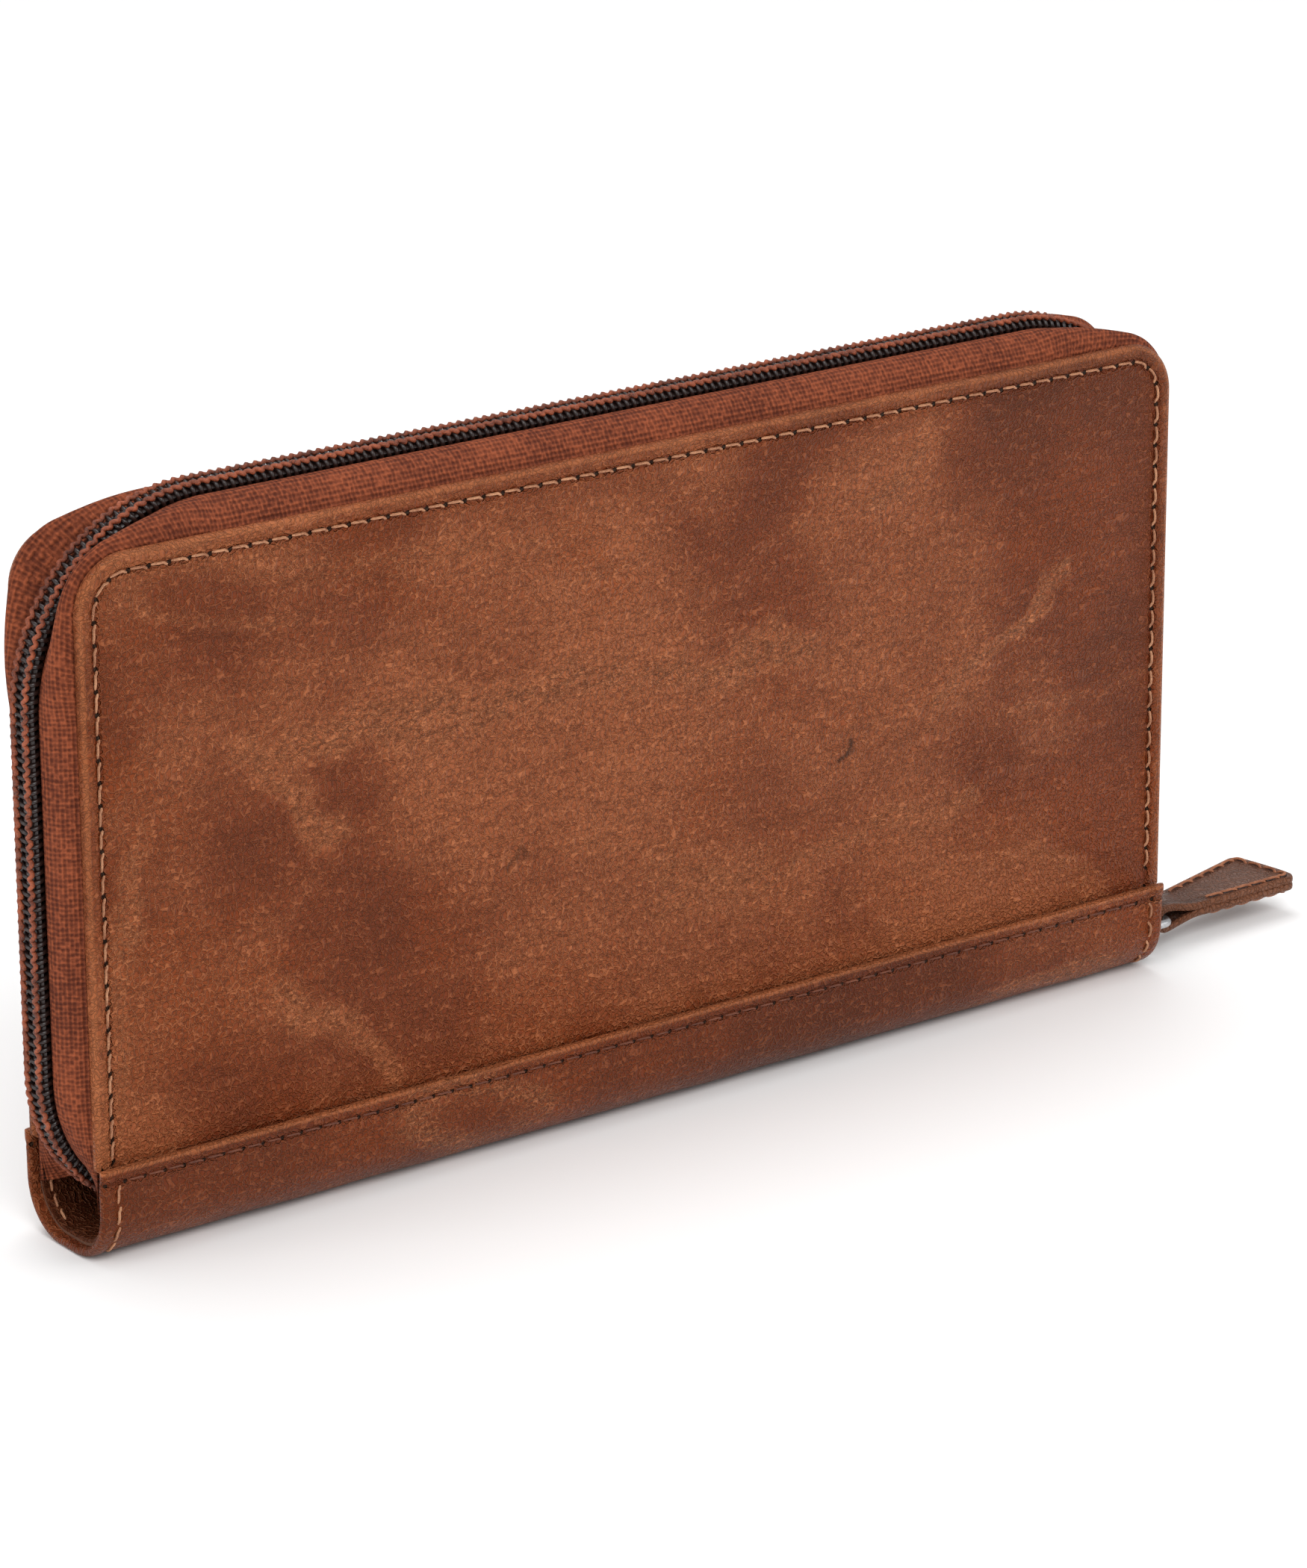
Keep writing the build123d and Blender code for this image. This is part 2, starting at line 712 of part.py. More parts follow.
make_slider(
    "zip_slider_body",
    slider_frame,
    (slider_length, channel, slider_flange, slider_plate),
    (coil_thickness, tape),
    (post_width, post_length),
    (bridge_length, bridge_width, bridge_bar, pull_room),
)
make_puller_loop()
make_pull_tab()
make_tab_stitching()
make_slider(
    "purse_zip_slider",
    coin_frame,
    (coin_slider_length, coin_channel, coin_slider_flange, coin_slider_plate),
    (coin_coil_thickness, coin_tape),
    (coin_post_width, coin_post_length),
    (coin_bridge_length, coin_bridge_width, coin_bridge_bar, coin_puller + coin_puller_room),
)
make_coin_puller()
make_coin_stop()
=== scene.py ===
import math
import bpy
import numpy as np
from mathutils import Matrix, Vector


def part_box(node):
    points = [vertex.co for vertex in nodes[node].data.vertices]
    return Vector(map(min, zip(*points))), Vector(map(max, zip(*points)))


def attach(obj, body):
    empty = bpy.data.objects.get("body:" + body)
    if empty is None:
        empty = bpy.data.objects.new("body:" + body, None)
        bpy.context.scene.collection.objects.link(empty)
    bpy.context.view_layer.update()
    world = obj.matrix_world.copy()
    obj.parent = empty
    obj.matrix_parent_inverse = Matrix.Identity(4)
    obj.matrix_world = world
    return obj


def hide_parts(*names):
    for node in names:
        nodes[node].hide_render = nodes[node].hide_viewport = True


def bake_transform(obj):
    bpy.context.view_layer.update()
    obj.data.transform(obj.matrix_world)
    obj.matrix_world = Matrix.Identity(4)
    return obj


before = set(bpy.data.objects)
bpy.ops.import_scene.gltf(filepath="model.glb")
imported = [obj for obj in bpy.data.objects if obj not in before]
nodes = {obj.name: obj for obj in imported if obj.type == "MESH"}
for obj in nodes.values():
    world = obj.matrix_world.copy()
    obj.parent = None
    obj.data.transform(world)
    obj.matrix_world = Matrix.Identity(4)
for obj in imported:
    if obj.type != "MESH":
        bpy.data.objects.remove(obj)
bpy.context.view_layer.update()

# Shapes are worked out in millimetres and become metres where their mesh is made.
# X runs along the wallet, Y through it and Z up; the front cover is on the -Y side.
mm = 0.001
sides = {"front": -1, "back": 1}


def corners(node):
    low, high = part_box(node)
    return np.array(low) / mm, np.array(high) / mm


panelLow, panelHigh = corners("back_panel")
stripHigh = corners("spine_strip")[1]
coilLow, coilHigh = corners("back_zip_coil")
halfLength, panelOuter, coverTop = panelHigh
panelInner, panelFoot = panelLow[1:]
halfDepth, stripTop = stripHigh[1:]
ridgeX, ridgeZ = -coilLow[0], coilHigh[2]


# camera, lights and floor
view = {
    "azimuth": -36.776, "elevation": 18.74, "roll": -0.259,   # degrees
    "target": (5.43, 0.0, 46.34), "distance": 858.3,          # millimetres
    "lens": 137.3,
}


def addCamera():
    turn, rise, roll = (math.radians(view[key]) for key in ("azimuth", "elevation", "roll"))
    back = Vector((math.sin(turn) * math.cos(rise), -math.cos(turn) * math.cos(rise), math.sin(rise)))
    right = Vector((math.cos(turn), math.sin(turn), 0))
    up = back.cross(right)
    tilted = right * math.cos(roll) + up * math.sin(roll)
    placed = Matrix((tilted, back.cross(tilted), back)).transposed().to_4x4()
    placed.translation = (Vector(view["target"]) + back * view["distance"]) * mm
    camera = bpy.data.objects.new("camera", bpy.data.cameras.new("camera"))
    camera.data.lens = view["lens"]
    camera.data.clip_start = 0.01
    camera.matrix_world = placed
    bpy.context.scene.collection.objects.link(camera)
    bpy.context.scene.camera = camera


worldStrength = 0.7
lamps = {                # where each softbox stands in metres, its size and its power in watts
    "key": ((-0.45, -1.1, 1.15), 0.7, 9.0),
    "fill": ((0.95, -0.95, 0.55), 0.9, 3.2),
    "end": ((-1.25, 0.15, 0.5), 0.7, 3.0),
    "top": ((0.1, 0.35, 1.3), 0.8, 5.0),
}


def addLights():
    for name, (place, size, power) in lamps.items():
        lamp = bpy.data.lights.new(name, "AREA")
        lamp.shape = "SQUARE"
        lamp.size = size
        lamp.energy = power
        holder = bpy.data.objects.new(name, lamp)
        holder.location = place
        holder.rotation_euler = (Vector((0, 0, 0.05)) - Vector(place)).to_track_quat("-Z", "Y").to_euler()
        bpy.context.scene.collection.objects.link(holder)
    world = bpy.data.worlds.new("studio")
    world.use_nodes = True
    background = world.node_tree.nodes["Background"]
    background.inputs["Color"].default_value = (1.0, 1.0, 1.0, 1.0)
    background.inputs["Strength"].default_value = worldStrength
    bpy.context.scene.world = world
    bpy.context.scene.view_settings.view_transform = "Standard"


addCamera()
addLights()
print("camera and lights")


# material nodes
def srgb(red, green, blue):
    # a colour as it is seen, 0 to 255, turned into the linear one that a shader takes
    seen = np.array((red, green, blue)) / 255
    linear = np.where(seen > 0.04045, ((seen + 0.055) / 1.055) ** 2.4, seen / 12.92)
    return (*linear.tolist(), 1.0)


class Wire:
    # one output socket; sums written with it become Math nodes
    def __init__(self, finish, socket):
        self.finish = finish
        self.socket = socket

    def maths(self, operation, *values):
        return self.finish.make("ShaderNodeMath", {"operation": operation}, dict(enumerate(values)))

    def __add__(self, other):
        return self.maths("ADD", self, other)

    __radd__ = __add__

    def __sub__(self, other):
        return self.maths("SUBTRACT", self, other)

    def __rsub__(self, other):
        return self.maths("SUBTRACT", other, self)

    def __mul__(self, other):
        return self.maths("MULTIPLY", self, other)

    __rmul__ = __mul__

    def __truediv__(self, other):
        return self.maths("DIVIDE", self, other)

    def __abs__(self):
        return self.maths("ABSOLUTE", self)

    def apart(self, other):
        # the length of the two together, as sides of a right angle
        return self.maths("SQRT", self * self + other * other)

    def wave(self):
        # sine of a whole turn for each unit
        return self.maths("SINE", self * math.tau)

    def within(self, period):
        # what is left over after whole periods, from minus half to plus half of one
        return self.maths("WRAP", self, period / 2, -period / 2)

    def rise(self, low, high):
        # 0 below low, 1 above high and smooth between
        values = {"Value": self, "From Min": low, "From Max": high}
        return self.finish.make("ShaderNodeMapRange", {"interpolation_type": "SMOOTHSTEP"}, values)


class Finish:
    # one material: its methods each add a node and hand back its output
    def __init__(self, name):
        self.material = bpy.data.materials.new(name)
        self.material.use_nodes = True
        self.tree = self.material.node_tree
        self.tree.nodes.clear()

    def make(self, kind, settings=None, values=None, output=0):
        node = self.tree.nodes.new(kind)
        for key, value in (settings or {}).items():
            if key == "stops":
                for extra in value[2:]:
                    node.color_ramp.elements.new(extra[0])
                for element, (spot, colour) in zip(node.color_ramp.elements, value):
                    element.position, element.color = spot, colour
            else:
                setattr(node, key, value)
        for key, value in (values or {}).items():
            if isinstance(value, Wire):
                self.tree.links.new(value.socket, node.inputs[key])
            else:
                node.inputs[key].default_value = value
        return Wire(self, node.outputs[output]) if node.outputs else None

    def place(self, shift=(0, 0, 0), stretch=(1, 1, 1)):
        # Object coordinates in millimetres, moved and stretched
        own = self.make("ShaderNodeTexCoord", output="Object")
        sizes = {"Location": shift, "Scale": tuple(share / mm for share in stretch)}
        return self.make("ShaderNodeMapping", None, {"Vector": own, **sizes})

    def parted(self, vector, axes):
        return [self.make("ShaderNodeSeparateXYZ", None, {0: vector}, output=axis) for axis in axes]

    def laid(self):
        # the piece's own UV map, whose units are millimetres
        return self.parted(self.make("ShaderNodeUVMap", {"uv_map": "UVMap"}), (0, 1))

    def noise(self, at, scale, detail=3.0, rough=0.55, warp=0.0):
        values = {"Vector": at, "Scale": scale, "Detail": detail, "Roughness": rough, "Distortion": warp}
        return self.make("ShaderNodeTexNoise", None, values)

    def cells(self, at, scale, feature="F1", uneven=1.0):
        values = {"Vector": at, "Scale": scale, "Randomness": uneven}
        return self.make("ShaderNodeTexVoronoi", {"feature": feature}, values)

    def mix(self, share, first, second):
        settings = {"data_type": "RGBA"}
        return self.make("ShaderNodeMix", settings, {0: share, 6: first, 7: second}, output=2)

    def ramp(self, share, stops):
        return self.make("ShaderNodeValToRGB", {"stops": stops}, {"Fac": share})

    def bump(self, height, distance, below=None):
        # distance is the rise in millimetres for a height of 1
        values = {"Height": height, "Distance": distance * mm, "Strength": 1.0}
        if below is not None:
            values["Normal"] = below
        return self.make("ShaderNodeBump", None, values)

    def done(self, colour, roughness, normal, **fixed):
        values = {"Base Color": colour, "Roughness": roughness, "Normal": normal}
        shader = self.make("ShaderNodeBsdfPrincipled", None, {**values, **fixed})
        self.make("ShaderNodeOutputMaterial", None, {"Surface": shader})
        return self.material


# hole is the colour of painted shade, in the needle holes and the dark creases
leatherLook = {
    "deep": srgb(82, 31, 13), "body": srgb(110, 47, 21), "rubbed": srgb(148, 80, 47),
    "glow": srgb(128, 53, 13), "edge": srgb(174, 104, 66), "hole": srgb(22, 8, 5),
    "tint": srgb(255, 205, 165), "shine": 0.4, "gloss": 0.27, "relief": 0.42, "folds": [],
}
# scales are in features for each millimetre, and shares say how much each one counts
hideGrain = {
    "broad": 0.017, "broadShare": 0.64, "patch": 0.04, "patchShare": 0.31, "mottle": 0.3, "mottleShare": 0.05,
    "fine": 1.7, "crackle": 1.3, "crackleWidth": 0.19, "streaks": 1.1, "pores": 0.3, "bands": 0.026,
}
# short creases on the front cover: two ends as (x, z) in millimetres, half width, and pale (1) or dark (-1), the
# dark ones painted shade
frontFolds = [
    ((-62, 68), (26, 65), 5.0, 1.0), ((52, 53), (77, 69), 2.6, 1.0), ((-70, 71), (-55, 53), 3.6, 0.8),
    ((36, 83), (49, 93), 3.0, 0.7), ((24, 33), (58, 36), 3.0, 0.55), ((-62, 32), (-48, 19), 4.5, 0.6),
    ((2, 34), (16, 33), 8.0, 0.55), ((-92, 17), (-88, 60), 3.0, 0.5), ((31, 46), (35, 49.5), 0.9, -1.0),
    ((-25, 42), (-22, 45), 0.7, -0.6),
]


def foldShare(finish, folds):
    # how near a point on a wandering face is to each short line: the gap to its nearest place, over its width
    spots = finish.parted(finish.place(), (0, 2))
    for axis in (0, 1):
        spots[axis] = spots[axis] + (finish.noise(finish.place((70 * axis, 0, 0)), 0.07, 4.0) - 0.5) * 16
    shares = {}
    for (startX, startZ), (endX, endZ), width, strength in folds:
        runX, runZ = endX - startX, endZ - startZ
        offX, offZ = spots[0] - startX, spots[1] - startZ
        share = (offX * runX + offZ * runZ) / (runX ** 2 + runZ ** 2)
        share = share.maths("MINIMUM", share.maths("MAXIMUM", share, 0.0), 1.0)
        near = (1 - (offX - share * runX).apart(offZ - share * runZ).rise(0.0, width)) * abs(strength)
        kind = "pale" if strength > 0 else "dark"
        shares[kind] = near.maths("MAXIMUM", shares[kind], near) if kind in shares else near
    return shares["pale"], shares["dark"]


def leatherBody(finish, shift, look):
    # broad soft clouds, long creased bands along the hide, and a fine grain, pale where it is rubbed
    at = finish.place(shift)
    hide = finish.place(shift, (0.3, 1, 1))
    size = hideGrain
    broad = finish.noise(at, size["broad"], 2.0, 0.45, 0.2)
    patch = finish.noise(at, size["patch"], 2.0, 0.5, 0.35)
    mottle = finish.noise(at, size["mottle"], 4.0, 0.65)
    fine = finish.noise(at, size["fine"], 3.0, 0.65)
    bands = 1 - abs(finish.noise(hide, size["bands"], 2.0, 0.5, 0.5) - 0.5).rise(0.0, 0.035)
    bands = bands * finish.noise(at, 0.022, 1.0).rise(0.48, 0.6)
    tone = broad * size["broadShare"] + patch * size["patchShare"] + mottle * size["mottleShare"] + bands * 0.05
    drift = finish.make("ShaderNodeTexNoise", None, {"Vector": hide, "Scale": 0.4, "Detail": 2.0}, output=1)
    drift = finish.make("ShaderNodeVectorMath", {"operation": "SCALE"}, {0: drift, "Scale": 3.0})
    bent = finish.make("ShaderNodeVectorMath", {"operation": "ADD"}, {0: at, 1: drift})
    crackle = 1 - finish.cells(bent, size["crackle"], "DISTANCE_TO_EDGE").rise(0.0, size["crackleWidth"])
    folds = dark = None
    if look["folds"]:
        folds, dark = foldShare(finish, look["folds"])
        bands = bands * 0.35 + folds
        tone = tone + folds * 0.19
    colour = finish.ramp(tone, [(0.4, look["deep"]), (0.505, look["body"]), (0.63, look["rubbed"])])
    warmth = finish.noise(at, 0.03, 2.0, 0.5, 0.3).rise(0.47, 0.66)
    colour = finish.mix(warmth * 0.55, colour, look["glow"])
    streaks = finish.noise(finish.place(shift, (0.45, 1, 1)), size["streaks"], 3.0, 0.6, 1.5).rise(0.5, 0.66)
    rubbed = tone.rise(0.46, 0.6)
    pale = crackle * (0.26 + rubbed * 0.4 + bands * 0.4) + streaks * (bands * 0.7 + rubbed * 0.2) + bands * 0.12
    colour = finish.mix(pale, colour, look["edge"])
    shade = fine.rise(0.56, 0.38)
    colour = finish.mix(shade * 0.5, colour, look["deep"])
    pores = 1 - finish.cells(at, size["pores"]).rise(0.03, 0.13)
    colour = finish.mix(pores * mottle.rise(0.48, 0.6) * 0.6, colour, look["deep"])
    # painted shade: the dark creases are darkened towards the hole colour
    if dark:
        colour = finish.mix(dark * 0.75, colour, look["hole"])
    height = fine * 0.7 + crackle * 0.6 + streaks * bands * 1.6 + patch * 1.6
    return colour, height, tone


def leatherDone(finish, look, colour, rough, normal):
    shine = {"Specular IOR Level": look["gloss"], "Specular Tint": look["tint"]}
    return finish.done(colour, rough, normal, **shine)


def sewnLeather(name, look, shift, seam):
    # the turned edge is pale with a painted highlight along its brink, the seam lies in a groove darkened with
    # painted shade, and each stitch ends in a needle hole painted dark as shade
    finish = Finish(name)
    colour, height, tone = leatherBody(finish, shift, look)
    along, inwards = finish.laid()
    uneven = finish.noise(finish.place(shift), 0.5, 3.0) - 0.5
    rim = 1 - (inwards + uneven * 0.7).rise(seam["turned"] - 0.9, seam["turned"] + 0.2)
    colour = finish.mix(rim * (seam["pale"] + uneven * 0.9), colour, look["edge"])
    # painted highlight: a pale line along the brink of the turned edge
    brinkHighlight = 1 - abs(inwards - seam["brinkHighlight"]).rise(0.1, 0.55)
    colour = finish.mix(brinkHighlight * 0.5, colour, look["edge"])
    # painted shade: the seam's groove is darkened towards the deep colour
    groove = 1 - abs(inwards - seam["inset"]).rise(0.1, 0.8)
    colour = finish.mix(groove * 0.55, colour, look["deep"])
    # painted shade: each needle hole is darkened almost to black
    hole = (along - seam["first"]).within(seam["pitch"]).apart(inwards - seam["inset"])
    hole = 1 - hole.rise(seam["hole"] * 0.6, seam["hole"])
    colour = finish.mix(hole, colour, look["hole"])
    pressed = finish.bump(groove * -0.5 - hole, 0.35, finish.bump(height, look["relief"]))
    return leatherDone(finish, look, colour, look["shine"] - tone * 0.2 + uneven * 0.25, pressed)


def plainLeather(name, look, shift):
    finish = Finish(name)
    colour, height, tone = leatherBody(finish, shift, look)
    return leatherDone(finish, look, colour, look["shine"] - tone * 0.2, finish.bump(height, look["relief"]))


def threadFinish(name, light, dark):
    # two plies twisted round each other, with stray fibres
    finish = Finish(name)
    at = finish.place()
    twist = finish.noise(at, 2.4, 3.0, 0.6, 2.0)
    wear = finish.noise(at, 0.35, 3.0)
    colour = finish.mix((twist * 0.7 + wear * 0.6 - 0.15).rise(0.25, 0.8), dark, light)
    return finish.done(colour, 0.72 - wear * 0.2, finish.bump(twist, 0.08))


def nylonFinish(name, colour):
    finish = Finish(name)
    at = finish.place()
    smear = finish.noise(at, 0.8, 3.0)
    shade = finish.mix(smear, colour, srgb(46, 30, 26))
    return finish.done(shade, 0.2 + smear * 0.2, finish.bump(smear, 0.03))


tapeLook = {
    # fold is the colour of the painted shadow that the cover's edge casts on the tape
    "light": srgb(162, 84, 52), "dark": srgb(80, 33, 18), "fold": srgb(26, 9, 5),
    # beadHighlight paints a highlight at the centre of each knot and shade between, and is also used in the bump
    "rib": 1.4, "row": 1.45, "beadHighlight": 1.15,       # the weave's two pitches, and knots for each millimetre
    "edgeAt": 10.6,                               # how far across the cover's edge lies
}


def tapeFinish(name, look, coverShadow):
    # the weave's knots stand on two crossing sets of diagonals and carry painted highlights, and painted shadow
    # darkens the ribs beside the cover
    finish = Finish(name)
    along, across = finish.laid()
    at = finish.place()
    stray = finish.noise(at, 0.6, 4.0) - 0.5
    first = (along / look["rib"] + across / look["row"] + stray * 0.6).wave()
    second = (along / look["rib"] - across / look["row"] + stray * 0.6).wave()
    # painted highlight: pale at each bead's centre and dark between, raised in the bump as well
    beadHighlight = 1 - finish.cells(at, look["beadHighlight"], "F1", 0.7).rise(0.1, 0.75)
    knotsAndHighlights = first * second * 0.55 + beadHighlight * 0.8 - 0.35
    fuzz = finish.noise(at, 3.2, 4.0, 0.7)
    worn = finish.noise(at, 0.12, 4.0)
    tone = knotsAndHighlights * 0.36 + fuzz * 0.5 + worn * 0.5
    colour = finish.mix(tone.rise(0.1, 0.95), look["dark"], look["light"])
    # painted shadow: just before the cover's edge the tape darkens almost to black, broken by the ribs
    if coverShadow:
        ribs = along.wave().rise(-0.6, 0.5)
        fold = across.rise(look["edgeAt"] - 0.9, look["edgeAt"] - 0.2)
        colour = finish.mix(fold * (0.95 - ribs * 0.5), colour, look["fold"])
    normal = finish.bump(knotsAndHighlights * 0.8 + fuzz * 0.4, 0.3)
    return finish.done(colour, 0.86 - fuzz * 0.1, normal, **{"Specular IOR Level": 0.2})


def clothFinish(name, light, dark, pitch):
    # plain weave: two crossed sets of threads
    finish = Finish(name)
    at = finish.place()
    axes = finish.parted(at, (0, 1, 2))
    warp = ((axes[0] + axes[1]) / pitch).wave()
    weft = ((axes[2] + axes[1]) / pitch).wave()
    worn = finish.noise(at, 0.15, 4.0)
    weave = warp * weft
    colour = finish.mix((weave * 0.25 + worn).rise(0.1, 0.9), dark, light)
    return finish.done(colour, 0.9 - worn * 0.15, finish.bump(weave, 0.1), **{"Specular IOR Level": 0.2})


def boardFinish(name):
    finish = Finish(name)
    at = finish.place(stretch=(0.35, 1, 1))
    fibres = finish.noise(at, 1.3, 5.0, 0.7, 0.5)
    colour = finish.mix(fibres.rise(0.3, 0.7), srgb(84, 52, 36), srgb(108, 70, 50))
    return finish.done(colour, 0.8 + fibres * 0.1, finish.bump(fibres, 0.06))


def metalFinish(name, bright, dull):
    # plated metal: fine brushing, a few scratches and dull smears
    finish = Finish(name)
    brushed = finish.noise(finish.place(stretch=(1, 0.2, 0.2)), 3.0, 4.0, 0.6)
    smear = finish.noise(finish.place(), 0.35, 4.0, 0.6)
    scratch = 1 - finish.cells(finish.place(stretch=(0.4, 1, 1)), 0.7, "DISTANCE_TO_EDGE").rise(0.0, 0.02)
    colour = finish.mix(smear.rise(0.35, 0.7), bright, dull)
    rough = 0.18 + smear * 0.25 + scratch * 0.2
    return finish.done(colour, rough, finish.bump(brushed * 0.3 - scratch, 0.02), Metallic=1.0)


def floorFinish(name):
    finish = Finish(name)
    tint = finish.noise(finish.place(), 0.004, 2.0)
    colour = finish.mix(tint, srgb(252, 252, 252), srgb(255, 255, 255))
    return finish.done(colour, 0.9, finish.bump(tint, 0.01), **{"Specular IOR Level": 0.0})


# how far in the seam lies, its pitch, where it begins, how wide the turned edge is and how pale, the painted
# highlight line along the edge's brink, and the needle holes' radius
coverSeam = {"inset": 2.7, "pitch": 3.17, "first": 0.0, "turned": 2.2, "pale": 0.16, "brinkHighlight": 0.5, "hole": 0.44}
stripSeam = {"inset": 2.0, "pitch": 3.17, "first": 0.6, "turned": 0.5, "pale": 0.6, "brinkHighlight": 0.25, "hole": 0.36}
tabSeam = {"inset": 1.4, "pitch": 3.0, "first": 0.0, "turned": 0.6, "pale": 0.2, "brinkHighlight": 0.2, "hole": 0.1}
# the tab's brown leather greyed towards purple-brown: a painted reflection of the light from above
tabLook = {
    **leatherLook, "deep": srgb(72, 42, 32), "body": srgb(100, 68, 56), "rubbed": srgb(124, 88, 74),
    "glow": srgb(92, 52, 34), "edge": srgb(118, 68, 42), "shine": 0.5, "gloss": 0.4,
}
# a darker copy of the cover leather: painted shade for the pieces inside the wallet
insideLook = {**leatherLook, "deep": srgb(72, 32, 18), "body": srgb(92, 46, 28), "rubbed": srgb(114, 64, 42)}
coverLeather = sewnLeather("coverLeather", {**leatherLook, "folds": frontFolds}, (231, 40, 117), coverSeam)
backLeather = sewnLeather("backLeather", leatherLook, (410, 300, 57), coverSeam)
stripLeather = sewnLeather("stripLeather", leatherLook, (130, 40, 90), stripSeam)
tabLeather = sewnLeather("tabLeather", tabLook, (0, 70, 0), tabSeam)
insideLeather = plainLeather("insideLeather", insideLook, (77, 0, 12))
coverThread = threadFinish("coverThread", srgb(206, 150, 110), srgb(128, 74, 46))
brownThread = threadFinish("brownThread", srgb(124, 66, 38), srgb(72, 32, 18))
tabThread = threadFinish("tabThread", srgb(180, 114, 74), srgb(120, 66, 40))
zipThread = threadFinish("zipThread", srgb(176, 88, 50), srgb(58, 21, 10))
# painted shade: a near-black finish for the cords that stand for the shade along the tab's seam
holeShadeThread = threadFinish("holeShadeThread", srgb(52, 24, 16), srgb(26, 10, 6))
coilNylon = nylonFinish("coilNylon", srgb(24, 12, 10))
zipCloth = tapeFinish("zipCloth", tapeLook, True)
purseCloth = tapeFinish("purseCloth", tapeLook, False)
liningCloth = clothFinish("liningCloth", srgb(104, 68, 48), srgb(62, 38, 26), 0.7)
stiffBoard = boardFinish("stiffBoard")
zipMetal = metalFinish("zipMetal", srgb(190, 186, 180), srgb(126, 120, 114))
loopMetal = metalFinish("loopMetal", srgb(222, 222, 224), srgb(150, 150, 152))
print("materials")


# meshes: rows of rings, given as strands x rows x columns x 3
def quadsOf(strandCount, rows, columns, step):
    # step is how many points apart the rows' columns are stored: columns, or one more for a UV seam
    index = np.arange(strandCount * rows * step).reshape(strandCount, rows, step)
    after = np.roll(index, -1, 2) if step == columns else index[:, :, 1:]
    index = index[:, :, :columns]
    walls = np.stack([index[:, :-1], after[:, :-1, :columns], after[:, 1:, :columns], index[:, 1:]], -1)
    near = np.arange(columns // 2 - 1)
    far = columns - 1 - near
    first, last = index[:, 0], index[:, -1]
    start = np.stack([first[:, near], first[:, far], first[:, far - 1], first[:, near + 1]], -1)
    end = np.stack([last[:, near], last[:, near + 1], last[:, far - 1], last[:, far]], -1)
    return np.concatenate([part.reshape(-1, 4) for part in (walls, start, end)])


def shell(name, rings, uv=None, sharp=50):
    # closed tubes: each row's columns make a ring, and the end rings are filled from side to side
    rings = rings if rings.ndim == 4 else rings[None]
    strandCount, rows, columns = rings.shape[:3]
    points = rings.reshape(-1, 3)
    quads = quadsOf(strandCount, rows, columns, columns)
    first, second, third, fourth = (points[quads[:, corner]] for corner in range(4))
    volume = (np.cross(second - first, third - first) + np.cross(third - first, fourth - first)) * first
    inside = volume.sum() < 0
    if inside:
        quads = quads[:, ::-1]
    mesh = bpy.data.meshes.new(name)
    mesh.vertices.add(len(points))
    mesh.vertices.foreach_set("co", (points * mm).astype(np.float32).ravel())
    mesh.loops.add(quads.size)
    mesh.loops.foreach_set("vertex_index", quads.astype(np.int32).ravel())
    mesh.polygons.add(len(quads))
    mesh.polygons.foreach_set("loop_start", np.arange(0, quads.size, 4, dtype=np.int32))
    mesh.update(calc_edges=True)
    if uv is not None:
        seam = quadsOf(strandCount, rows, columns, columns + 1)
        seam = seam[:, ::-1] if inside else seam
        flat = np.broadcast_to(uv, (strandCount, rows, columns + 1, 2)).reshape(-1, 2)
        layer = mesh.uv_layers.new(name="UVMap")
        layer.data.foreach_set("uv", flat[seam.ravel()].astype(np.float32).ravel())
    mesh.shade_smooth()
    mesh.set_sharp_from_angle(angle=math.radians(sharp))
    piece = bpy.data.objects.new(name, mesh)
    bpy.context.scene.collection.objects.link(piece)
    return piece


def cords(paths, radius, around, across):
    # a round section carried along each path: path + radius (cos a side + sin a up)
    ahead = np.gradient(paths, axis=1)
    side = np.cross(ahead, across)
    side /= np.linalg.norm(side, axis=-1, keepdims=True)
    up = np.cross(side, ahead)
    up /= np.linalg.norm(up, axis=-1, keepdims=True)
    angle = np.linspace(0, math.tau, around, endpoint=False)[:, None]
    ring = side[..., None, :] * np.cos(angle) + up[..., None, :] * np.sin(angle)
    return paths[..., None, :] + ring * np.broadcast_to(radius, paths.shape[:2])[..., None, None]


def smoothRise(value, low, high):
    share = np.clip((value - low) / (high - low), 0, 1)
    return share * share * (3 - 2 * share)


def dress(piece, finish, stands, body=None, bend=None):
    # gives a piece its finish and hides the CAD nodes that it stands for; a piece with a bend only has its
    # transform baked, any other is parented to its body
    piece.data.materials.clear()
    piece.data.materials.append(finish)
    if stands:
        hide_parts(*stands)
    if bend:
        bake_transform(piece)
    else:
        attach(piece, body)


# where the bend between the spine and a cover starts and ends, as (y, z); no piece is bent by them, dress only
# bakes the transform of a piece given one
hingeZones = {
    "zip": ((0, 7), (6.5, 9.5)),
    "strip": ((5.0, 0.6), (9.4, 9.0)),
    "gusset": ((1.0, 30), (6.0, 30)),
}


def coverBend(zone, word, side):
    start, end = ((0, side * y, z) for y, z in hingeZones[zone])
    return "spine", f"{word}_cover", start, end


